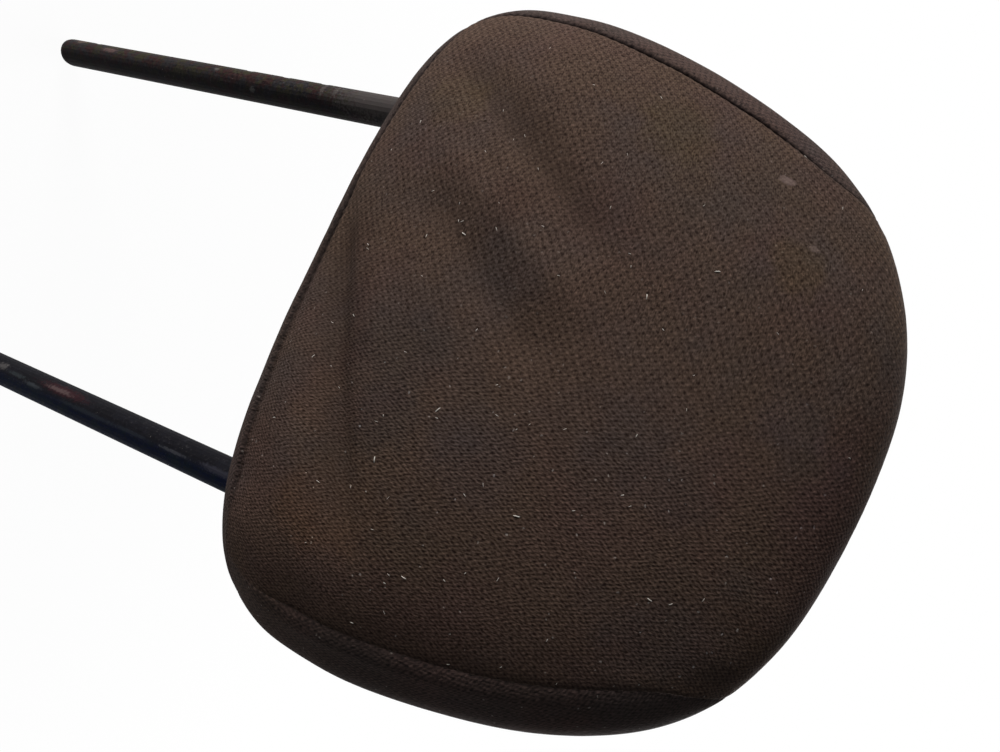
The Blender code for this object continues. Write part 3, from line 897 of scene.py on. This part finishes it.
# Clouds of other yarn: scale, noise at which each sets in and is whole, strength and colour
TINTS = (
    (13.0, 0.42, 0.72, 0.45, (0.092, 0.064, 0.038)),
    (21.0, 0.42, 0.70, 0.60, (0.098, 0.055, 0.047)),
    (29.0, 0.40, 0.80, 0.70, (0.066, 0.054, 0.052)),
)
CLOUD_DETAIL = (3.0, 0.6)

# Stains on the front, with painted shade along the folds and near the +X edge and painted light beside the
# long crease among them: their noise, then place, half size and how each dulls or warms the yarn
STAIN_NOISE = (110.0, 2.0, 0.6)
STAINS_AND_PAINTED_LIGHT = (
    ((0.0203, -0.0460, 0.0543), (0.016, 0.030, 0.016), (0.78, 0.86, 0.92)),
    ((0.0396, -0.0452, 0.0569), (0.013, 0.030, 0.010), (0.78, 0.84, 0.92)),
    ((0.0660, -0.0430, 0.0510), (0.016, 0.030, 0.020), (1.12, 1.02, 0.91)),
    # Painted light: the lit band beside the long crease
    ((0.0450, -0.0470, 0.0350), (0.014, 0.030, 0.008), (1.16, 1.13, 1.08)),
    ((-0.0691, -0.0283, 0.0974), (0.014, 0.030, 0.014), (1.06, 1.05, 0.86)),
    ((-0.0433, -0.0107, 0.1394), (0.010, 0.030, 0.010), (1.08, 1.06, 0.88)),
    ((-0.0559, -0.0459, 0.0367), (0.012, 0.030, 0.012), (1.10, 1.11, 0.96)),
    ((0.0416, -0.0372, 0.0823), (0.015, 0.030, 0.015), (0.94, 0.97, 1.07)),
    ((0.0280, -0.0180, 0.1270), (0.010, 0.030, 0.016), (0.90, 0.95, 1.01)),
    ((0.0280, 0.0070, 0.1650), (0.034, 0.030, 0.014), (1.04, 0.98, 1.07)),
    ((-0.0020, -0.0060, 0.1500), (0.012, 0.030, 0.012), (0.95, 1.00, 1.10)),
    # Painted shade where the front rounds off towards its +X edge
    ((0.0640, -0.0080, 0.1400), (0.014, 0.030, 0.030), (0.84, 0.88, 0.94)),
    # Painted shade along the folds: three on the long crease, then two on the diagonal ones
    ((-0.0054, -0.0470, 0.0255), (0.012, 0.030, 0.0065), (0.86, 0.83, 0.84)),
    ((0.0089, -0.0470, 0.0325), (0.012, 0.030, 0.0065), (0.86, 0.83, 0.84)),
    ((0.0226, -0.0470, 0.0390), (0.012, 0.030, 0.0060), (0.88, 0.85, 0.86)),
    ((-0.0588, -0.0432, 0.0611), (0.013, 0.030, 0.010), (0.90, 0.89, 0.89)),
    ((-0.0260, -0.0440, 0.0650), (0.013, 0.030, 0.008), (0.90, 0.87, 0.86)),
)

# Pale spots rubbed on the front: their noise, then place, half size, colour and strength
SPOT_NOISE = (900.0, 2.0, 0.6)
PALE_SPOTS = (
    ((-0.0683, -0.0135, 0.1282), (0.0016, 0.0080, 0.0028), (0.125, 0.088, 0.078), 0.70),
    ((-0.0509, -0.0091, 0.1409), (0.0013, 0.0080, 0.0019), (0.115, 0.082, 0.070), 0.60),
)


def shifted(tree, where, amount, scale):
    """A place moved about by soft noise."""
    drift = grain(tree, where, scale, 1.0).outputs["Color"]
    return figure_each(tree, "MULTIPLY_ADD", drift, (amount, amount, 0), where)


def loop_glints(tree, cloth):
    """A random value for each loop of the knit, which lifts some loops into painted highlights."""
    loops = figure_each(tree, "DIVIDE", cloth, (PITS_ACROSS / 3, PITS_UP / 2, 1))
    chance = add(tree, "TexWhiteNoise", noise_dimensions="2D")
    feed(tree, chance.inputs["Vector"], figure_each(tree, "FLOOR", loops))
    return chance.outputs["Value"]


def strokes(tree, half, cloth):
    """Fine light strokes of yarn: across the rows on one half of the cushion, along them on the other."""
    made = []
    for stretch in STROKES:
        stretched = figure_each(tree, "MULTIPLY", cloth, stretch)
        made.append(grain(tree, stretched, 1.0, 1.0).outputs[0])
    mixed = add(tree, "Mix", data_type="FLOAT")
    for socket, value in zip(mixed.inputs[:1] + mixed.inputs[2:4], (half, *made)):
        feed(tree, socket, value)
    return mixed.outputs[0]


def specks(tree, cloth, scale, share, size):
    """1 on small scattered specks, 0 elsewhere."""
    cells = add(tree, "TexVoronoi", feature="F1", voronoi_dimensions="2D")
    feed(tree, cells.inputs["Vector"], shifted(tree, cloth, *SPECK_WANDER))
    cells.inputs["Scale"].default_value = scale
    chosen = add(tree, "TexWhiteNoise", noise_dimensions="3D")
    feed(tree, chosen.inputs["Vector"], cells.outputs["Color"])
    rare = figure(tree, "LESS_THAN", chosen.outputs["Value"], share)
    near = between(tree, cells.outputs["Distance"], size, size * SPECK_CORE)
    return figure(tree, "MULTIPLY", rare, near)


def knit_height(tree, cloth, half):
    """Height of the knit, which also paints its shade and highlights: loops in rows, pits in every other
    row, strokes of yarn and uneven loops.
    """
    parts = split(tree, shifted(tree, shifted(tree, cloth, *FINE_WANDER), *BROAD_WANDER))
    across = figure(tree, "MULTIPLY", parts[0], 2 * math.pi / PITS_ACROSS)
    up = figure(tree, "MULTIPLY", parts[1], 2 * math.pi / PITS_UP)
    rows = figure(tree, "COSINE", up)
    pits = figure(tree, "MULTIPLY", figure(tree, "COSINE", across), rows)
    thirds = figure(tree, "COSINE", figure(tree, "MULTIPLY", across, 3.0))
    loops = figure(tree, "MULTIPLY", thirds, rows)
    loops = figure(tree, "MULTIPLY", loops, between(tree, half, 0.0, 1.0, *LOOP_HEIGHTS))
    pits = figure(tree, "MULTIPLY", pits, between(tree, half, 0.0, 1.0, *PIT_HEIGHTS))
    height = figure(tree, "ADD", figure(tree, "ADD", loops, pits), BASE_HEIGHT)
    height = figure(tree, "MULTIPLY_ADD", strokes(tree, half, cloth), STROKE_HEIGHT, height)
    return figure(tree, "MULTIPLY_ADD", loop_glints(tree, cloth), LOOP_GLINT_HEIGHT, height)


def yarn_colour(tree, place, height, light, pit_shade):
    """The yarn's colour by height, painted shade in the pits and painted highlight on the raised yarn,
    clouded with its other tints.
    """
    lit = between(tree, height, *YARN_SHADE_SPAN)
    colour = blended(tree, lit, pit_shade, light)
    for scale, low, high, most, tint in TINTS:
        cloud = grain(tree, place, scale, *CLOUD_DETAIL).outputs[0]
        shade = blended(tree, lit, pit_shade, tint)
        colour = blended(tree, between(tree, cloud, low, high, 0.0, most), colour, shade)
    return colour


def shaded_and_soiled(tree, cloth, half, colour, light):
    """The colour with painted shade in the folds, pale specks, and grime along the seams that are drawn
    in.
    """
    fold = add(tree, "Attribute", attribute_name="fold_depth").outputs["Fac"]
    # Painted shade: the deeper the fold, the darker the yarn
    fold_shade = between(tree, fold, 0.0, FOLD_SHADE_DEPTH, 0.0, FOLD_SHADE_STRENGTH)
    colour = blended(tree, fold_shade, colour, tuple(FOLD_SHADE_SHARE * part for part in light))
    speckled = between(tree, half, *SPECK_SPREAD)
    speckled = figure(tree, "MULTIPLY", specks(tree, cloth, *SPECKS), speckled)
    colour = blended(tree, speckled, colour, SPECK_COLOUR)
    edge = add(tree, "Attribute", attribute_name="seam_distance").outputs["Fac"]
    pull = add(tree, "Attribute", attribute_name="seam_pull").outputs["Fac"]
    grime = between(tree, edge, *GRIME_SPREAD)
    grime = figure(tree, "MULTIPLY", grime, figure(tree, "SQRT", pull))
    return blended(tree, grime, colour, GRIME)


def stained_and_shaded(tree, place, colour):
    """The colour with the front's stains, the painted shade and light among them, and its pale rubbed
    spots.
    """
    soft = grain(tree, place, *STAIN_NOISE).outputs[0]
    for centre, size, tint in STAINS_AND_PAINTED_LIGHT:
        stain_and_shade = mark(tree, place, soft, centre, size, 1.0)
        colour = blended(tree, stain_and_shade, colour, tint, "MULTIPLY")
    ragged = grain(tree, place, *SPOT_NOISE).outputs[0]
    for centre, size, tint, strength in PALE_SPOTS:
        colour = blended(tree, mark(tree, place, ragged, centre, size, strength), colour, tint)
    return colour


def knit(name, side):
    """Knit of loops in rows, painted with shade in its pits and folds and highlights on its raised yarn,
    darker on the sides and stained on the front and back, with painted shade and light among the stains.
    """
    made, tree, shader = new_material(name)
    place = own_place(tree)
    cloth = add(tree, "UVMap", uv_map="cloth").outputs[0]
    half = between(tree, split(tree, place)[0], *HALF_CHANGE)
    height = knit_height(tree, cloth, half)
    light, pit_shade = (SIDE_YARN, SIDE_YARN_PIT_SHADE) if side else (YARN, YARN_PIT_SHADE)
    colour = yarn_colour(tree, place, height, light, pit_shade)
    colour = shaded_and_soiled(tree, cloth, half, colour, light)
    if not side:
        colour = stained_and_shaded(tree, place, colour)
    feed(tree, shader.inputs["Base Color"], colour)
    shader.inputs["Roughness"].default_value = CLOTH_ROUGH
    shader.inputs["Specular IOR Level"].default_value = CLOTH_SHINE
    raised(tree, shader, height, KNIT_RELIEF)
    return made


# Thread and lint: dark and light colour, noise scale and roughness

THREAD_TWIST = ((0.008, 0.006, 0.005), (0.036, 0.024, 0.019), 2600.0, 0.8)
THREAD_SHINE = 0.1
THREAD_RELIEF = 0.0001
COTTON = ((0.30, 0.26, 0.22), (0.62, 0.58, 0.52), 700.0, 0.85)


def sewing_thread():
    """Dark thread, twisted."""
    made, tree, shader = new_material("sewing_thread")
    dark, light, scale, rough = THREAD_TWIST
    place = own_place(tree)
    twist = grain(tree, place, scale).outputs[0]
    feed(tree, shader.inputs["Base Color"], blended(tree, twist, dark, light))
    shader.inputs["Roughness"].default_value = rough
    shader.inputs["Specular IOR Level"].default_value = THREAD_SHINE
    raised(tree, shader, twist, THREAD_RELIEF)
    return made


def pale_fibre():
    """Cotton lint, off-white with darker stretches."""
    made, tree, shader = new_material("pale_fibre")
    dark, light, scale, rough = COTTON
    place = own_place(tree)
    patch = grain(tree, place, scale).outputs[0]
    feed(tree, shader.inputs["Base Color"], blended(tree, patch, dark, light))
    shader.inputs["Roughness"].default_value = rough
    return made


# Hard pieces

# Colours of the posts' coating, its wear and the steel under it, with painted light and shade on the
# posts' outer sides
BLACK_COAT = (0.0034, 0.0036, 0.0052)
PLUM = (0.0074, 0.0072, 0.0096)
# Painted shade: navy and teal on the right post's outer side, away from the light
SHADE_NAVY = (0.0020, 0.0040, 0.0150)
SHADE_TEAL = (0.0035, 0.0075, 0.0130)
SLATE = (0.0055, 0.0052, 0.0066)
# Painted light over rust: maroon, olive and ash on the left post's outer side, which faces the light
MAROON = (0.0270, 0.0120, 0.0110)
OLIVE = (0.0260, 0.0230, 0.0130)
LIT_ASH = (0.0190, 0.0172, 0.0182)
BARE_STEEL = (0.26, 0.24, 0.22)
PALE_WEAR = (0.050, 0.047, 0.049)
SCUFFED = (0.026, 0.025, 0.028)
COAT_SHINE = 0.025
COAT_RELIEF = 0.00004
SCUFF_RELIEF = 0.4

# Noise of each kind of wear: scale, detail and roughness
FLECK_NOISE = (900.0, 3.0, 0.65)
SCUFF_NOISE = (800.0, 3.0, 0.6)
CHIP_NOISE = (1100.0, 2.0, 0.6)
TONE_NOISE = (240.0, 4.0, 0.75)
# Scuffs are drawn out along the posts
ALONG_POSTS = (1.0, 1.0, 0.12)

# Noise values between which each tone takes over from the one under it
MAROON_SPAN = (0.46, 0.56)
OLIVE_SPAN = (0.49, 0.58)
PLUM_SPAN = (0.40, 0.62)
TEAL_SPAN = (0.44, 0.62)
SLATE_SPAN = (0.48, 0.64)
# The same for the wear, then its strength at each end
DARK_FLECKS = (0.36, 0.52, 0.65, 0.0)
PALE_FLECKS = (0.56, 0.72, 0.0, 0.30)
SCUFFS = (0.58, 0.78, 0.0, 0.20)
CHIPS = (0.74, 0.80, 0.0, 0.6)
# Roughness of the coating, from low to high fleck noise
COAT_ROUGH = (0.3, 0.7, 0.50, 0.72)
# Where the finish of the left post gives way to that of the right one
POST_CHANGE = (-0.004, 0.004, 1.0, 0.0)
# Distances from the middle between which a post's outer side begins, painted in shade on the right post,
# and the left one's rust, painted lighter on its lit side
SHADED_OUTER_SIDE = (POST_X - 0.0010, POST_X + 0.0030)
LIT_RUSTY_SIDE = (POST_X - 0.0045, POST_X + 0.0010, 0.35, 1.0)

# Ragged marks: how the noise is stretched and shifted, and where their edge begins and ends
RAGGED = (2.0, -0.5)
MARK_EDGE = (0.9, 1.6)

# Marks rubbed, scraped or chipped through the coating, and a painted highlight: place, half size, colour
# and strength
POST_WEAR_AND_HIGHLIGHT = (
    ((-0.0740, -0.0060, -0.0240), (0.0090, 0.0090, 0.0260), (0.050, 0.043, 0.041), 0.80),
    ((-0.0750, -0.0060, -0.0521), (0.0040, 0.0060, 0.0012), (0.062, 0.054, 0.049), 0.70),
    ((-0.0750, -0.0060, -0.0455), (0.0040, 0.0060, 0.0012), (0.058, 0.050, 0.046), 0.65),
    ((-0.0748, -0.0058, -0.1760), (0.0014, 0.0034, 0.0058), (0.088, 0.056, 0.052), 0.75),
    ((-0.0772, -0.0040, -0.1985), (0.0020, 0.0040, 0.0040), (0.080, 0.056, 0.044), 0.70),
    ((-0.0750, -0.0058, -0.1093), (0.0010, 0.0030, 0.0016), (0.080, 0.070, 0.066), 0.70),
    ((-0.0696, -0.0047, -0.0872), (0.0010, 0.0030, 0.0016), (0.075, 0.070, 0.068), 0.70),
    ((0.0705, -0.0053, -0.1020), (0.0024, 0.0046, 0.0160), (0.026, 0.009, 0.011), 0.70),
    ((0.0708, -0.0053, -0.1045), (0.0010, 0.0036, 0.0092), (0.068, 0.046, 0.045), 0.75),
    ((0.0714, -0.0057, -0.1389), (0.0017, 0.0036, 0.0034), (0.062, 0.057, 0.056), 0.70),
    ((0.0733, -0.0060, -0.1185), (0.0009, 0.0034, 0.0060), (0.036, 0.040, 0.045), 0.65),
    ((0.0722, -0.0060, -0.1290), (0.0010, 0.0034, 0.0065), (0.028, 0.033, 0.036), 0.55),
    # The last four: a painted highlight along the right post's middle
    ((0.0740, -0.0060, -0.0850), (0.0009, 0.0034, 0.0190), (0.017, 0.020, 0.025), 0.55),
    ((0.0737, -0.0060, -0.0392), (0.0007, 0.0034, 0.0080), (0.045, 0.045, 0.052), 0.60),
    ((0.0734, -0.0060, -0.0180), (0.0014, 0.0034, 0.0100), (0.028, 0.027, 0.036), 0.60),
    ((0.0738, -0.0060, -0.0620), (0.0008, 0.0034, 0.0120), (0.018, 0.021, 0.027), 0.50),
)


def mark(tree, place, ragged, centre, size, strength):
    """Strength inside a ragged mark round a place, 0 outside it."""
    away = figure_each(tree, "DIVIDE", figure_each(tree, "SUBTRACT", place, centre), size)
    edge = figure(tree, "ADD", ragged, figure_each(tree, "LENGTH", away))
    return between(tree, edge, *MARK_EDGE, strength, 0.0)


def lit_rusty_tones(tree, tones, across):
    """The left post: ash, maroon and olive on its outer side, painted light where it faces the light, plum
    and black on its inner one.
    """
    rusty = blended(tree, between(tree, tones[0], *MAROON_SPAN), LIT_ASH, MAROON)
    rusty = blended(tree, between(tree, tones[1], *OLIVE_SPAN), rusty, OLIVE)
    plum = blended(tree, between(tree, tones[2], *PLUM_SPAN), BLACK_COAT, PLUM)
    return blended(tree, between(tree, across, *LIT_RUSTY_SIDE), plum, rusty)


def shaded_blue_tones(tree, tones, across):
    """The right post: navy and teal on its outer side as painted shade, slate and plum on its inner one.
    """
    blue = blended(tree, between(tree, tones[1], *TEAL_SPAN), SHADE_NAVY, SHADE_TEAL)
    slate = blended(tree, between(tree, tones[0], *SLATE_SPAN), SLATE, PLUM)
    return blended(tree, between(tree, across, *SHADED_OUTER_SIDE), slate, blue)


def worn_steel():
    """Satin coating over steel, mottled, flecked, scuffed and chipped, with painted light on the left
    post's outer side, painted shade on the right post's outer side and a painted highlight along the right
    post.
    """
    made, tree, shader = new_material("worn_steel")
    place = own_place(tree)
    fleck = grain(tree, place, *FLECK_NOISE).outputs[0]
    drawn = figure_each(tree, "MULTIPLY", place, ALONG_POSTS)
    scuffs = grain(tree, drawn, *SCUFF_NOISE).outputs[0]
    chips = grain(tree, place, *CHIP_NOISE).outputs[0]
    tones = split(tree, grain(tree, place, *TONE_NOISE).outputs["Color"])
    sideways = split(tree, place)[0]
    left = between(tree, sideways, *POST_CHANGE)
    across = figure(tree, "ABSOLUTE", sideways)
    colour = blended(tree, left, shaded_blue_tones(tree, tones, across), lit_rusty_tones(tree, tones, across))
    colour = blended(tree, between(tree, fleck, *DARK_FLECKS), colour, BLACK_COAT)
    colour = blended(tree, between(tree, fleck, *PALE_FLECKS), colour, PALE_WEAR)
    colour = blended(tree, between(tree, scuffs, *SCUFFS), colour, SCUFFED)
    ragged = figure(tree, "MULTIPLY_ADD", fleck, *RAGGED)
    for centre, size, tint, strength in POST_WEAR_AND_HIGHLIGHT:
        colour = blended(tree, mark(tree, place, ragged, centre, size, strength), colour, tint)
    colour = blended(tree, between(tree, chips, *CHIPS), colour, BARE_STEEL)
    feed(tree, shader.inputs["Base Color"], colour)
    shader.inputs["Specular IOR Level"].default_value = COAT_SHINE
    feed(tree, shader.inputs["Roughness"], between(tree, fleck, *COAT_ROUGH))
    raised(tree, shader, figure(tree, "MULTIPLY_ADD", scuffs, SCUFF_RELIEF, fleck), COAT_RELIEF)
    return made


# Moulded plastics: colour and roughness
STRIP_PLASTIC = ((0.016, 0.016, 0.017), 0.42)
BEZEL_PLASTIC = ((0.014, 0.014, 0.015), 0.38)
CORE_PLASTIC = ((0.030, 0.030, 0.032), 0.5)
# Their pebbled grain, the dust's noise, where it tints and where it dulls them, and by how much
PEBBLE_SCALE = 2200.0
PEBBLE_RELIEF = 0.00006
DUST_NOISE = (60.0, 3.0)
DUST_TINTS, DUST_DULLS = (0.4, 0.8), (0.3, 0.8)
DUST_PALER, DUST_ADDED, DUST_ROUGHER = 1.6, 0.01, 0.2


def moulded_plastic(name, colour, rough):
    """Black plastic with a fine pebbled grain, paler and duller where it is dusty."""
    made, tree, shader = new_material(name)
    place = own_place(tree)
    pebble = grain(tree, place, PEBBLE_SCALE).outputs[0]
    dust = grain(tree, place, *DUST_NOISE).outputs[0]
    paler = tuple(DUST_PALER * part + DUST_ADDED for part in colour)
    feed(tree, shader.inputs["Base Color"], blended(tree, between(tree, dust, *DUST_TINTS), colour, paler))
    feed(tree, shader.inputs["Roughness"], between(tree, dust, *DUST_DULLS, rough, rough + DUST_ROUGHER))
    raised(tree, shader, pebble, PEBBLE_RELIEF)
    return made


# Foam: colours where it has aged and where it is fresh, size and depth of its cells
FOAM_AGED = (0.55, 0.47, 0.28)
FOAM_FRESH = (0.68, 0.63, 0.46)
FOAM_CELLS = 900.0
FOAM_RELIEF = 0.0004
AGE_NOISE = (25.0, 3.0)


def foam():
    """Moulded foam, yellowed with age."""
    made, tree, shader = new_material("pad_foam")
    place = own_place(tree)
    cells = add(tree, "TexVoronoi", feature="F1")
    feed(tree, cells.inputs["Vector"], place)
    cells.inputs["Scale"].default_value = FOAM_CELLS
    age = grain(tree, place, *AGE_NOISE).outputs[0]
    feed(tree, shader.inputs["Base Color"], blended(tree, age, FOAM_AGED, FOAM_FRESH))
    shader.inputs["Roughness"].default_value = 0.95
    raised(tree, shader, cells.outputs["Distance"], FOAM_RELIEF)
    return made


# Zinc plating: dull and bright colour, noise, and roughness from low to high noise
ZINC_DULL = (0.42, 0.40, 0.34)
ZINC_BRIGHT = (0.62, 0.60, 0.55)
TARNISH_NOISE = (400.0, 3.0)
ZINC_ROUGH = (0.3, 0.7, 0.25, 0.45)


def zinc():
    """Zinc plating on the core's screws, lightly tarnished."""
    made, tree, shader = new_material("screw_zinc")
    place = own_place(tree)
    tarnish = grain(tree, place, *TARNISH_NOISE).outputs[0]
    feed(tree, shader.inputs["Base Color"], blended(tree, tarnish, ZINC_DULL, ZINC_BRIGHT))
    shader.inputs["Metallic"].default_value = 0.9
    feed(tree, shader.inputs["Roughness"], between(tree, tarnish, *ZINC_ROUGH))
    return made


def finish_hard_pieces():
    """Gives the frame's own nodes their finishes, by how their names begin."""
    finishes = {
        "post_frame": worn_steel(),
        "foam_pad": foam(),
        "core_screw": zinc(),
        "core": moulded_plastic("core_plastic", *CORE_PLASTIC),
        "closure": moulded_plastic("closure_plastic", *STRIP_PLASTIC),
        "post_bezel": moulded_plastic("bezel_plastic", *BEZEL_PLASTIC),
    }
    for node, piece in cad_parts.items():
        finish = next((finishes[start] for start in finishes if node.startswith(start)), None)
        if finish is not None:
            piece.data.materials.clear()
            piece.data.materials.append(finish)


# Stage, light and camera

def seen_directly(tree):
    """1 for the camera's own rays and for those by way of a shiny or clear surface, 0 for the light."""
    path = add(tree, "LightPath")
    seen = figure(tree, "MAXIMUM", path.outputs["Is Camera Ray"], path.outputs["Is Glossy Ray"])
    return figure(tree, "MAXIMUM", seen, path.outputs["Is Transmission Ray"])


def white_floor():
    """A pale floor under the posts' tips that shows white to the camera and keeps its shadow."""
    bpy.ops.object.select_all(action="DESELECT")
    bpy.ops.mesh.primitive_plane_add(size=FLOOR_SIZE, location=(0, 0, ROD_LOW.z - FLOOR_DROP))
    floor = bpy.context.active_object
    bpy.ops.object.transform_apply(location=True)
    floor.name = "floor"
    made, tree, shader = new_material("pale_floor")
    shader.inputs["Base Color"].default_value = FLOOR_COLOUR
    shader.inputs["Roughness"].default_value = 0.9
    reach = figure_each(tree, "LENGTH", own_place(tree))
    whitening = between(tree, reach, *FLOOR_WHITENS, *FLOOR_WHITE)
    glow = add(tree, "Emission")
    glow.inputs["Color"].default_value = (*WHITE, 1)
    mixed = add(tree, "MixShader")
    feed(tree, mixed.inputs[0], figure(tree, "MULTIPLY", seen_directly(tree), whitening))
    feed(tree, mixed.inputs[1], shader.outputs[0])
    feed(tree, mixed.inputs[2], glow.outputs[0])
    feed(tree, tree.nodes["Material Output"].inputs["Surface"], mixed.outputs[0])
    floor.data.materials.append(made)


def white_world():
    """A dim bluish room that shows white to the camera."""
    world = bpy.data.worlds.new("white_room")
    bpy.context.scene.world = world
    world.use_nodes = True
    tree = world.node_tree
    background = tree.nodes["Background"]
    feed(tree, background.inputs["Color"], blended(tree, seen_directly(tree), ROOM_LIGHT, WHITE))
    background.inputs["Strength"].default_value = 1.0


def soft_lamp(name, place, target, size, power, colour):
    data = bpy.data.lights.new(name, "AREA")
    data.shape = "DISK"
    data.color = colour
    data.size = size
    data.energy = power
    lamp = bpy.data.objects.new(name, data)
    lamp.visible_camera = False
    lamp.location = place
    lamp.rotation_euler = (Vector(target) - Vector(place)).to_track_quat("-Z", "Y").to_euler()
    bpy.context.scene.collection.objects.link(lamp)


def camera():
    data = bpy.data.cameras.new("camera")
    data.lens = CAMERA_LENS
    data.sensor_width = CAMERA_FILM
    data.clip_start = CAMERA_NEAREST
    forward = Vector(CAMERA_FORWARD).normalized()
    right = Vector(CAMERA_RIGHT).normalized()
    up = right.cross(forward).normalized()
    turn = Matrix((right, up, -forward)).transposed().to_4x4()
    made = bpy.data.objects.new("camera", data)
    made.matrix_world = Matrix.Translation(CAMERA_PLACE) @ turn
    bpy.context.scene.collection.objects.link(made)
    bpy.context.scene.camera = made


def build():
    cover()
    finish_hard_pieces()
    white_floor()
    white_world()
    for lamp in LAMPS:
        soft_lamp(*lamp)
    camera()
    bpy.context.scene.view_settings.view_transform = "Standard"


build()
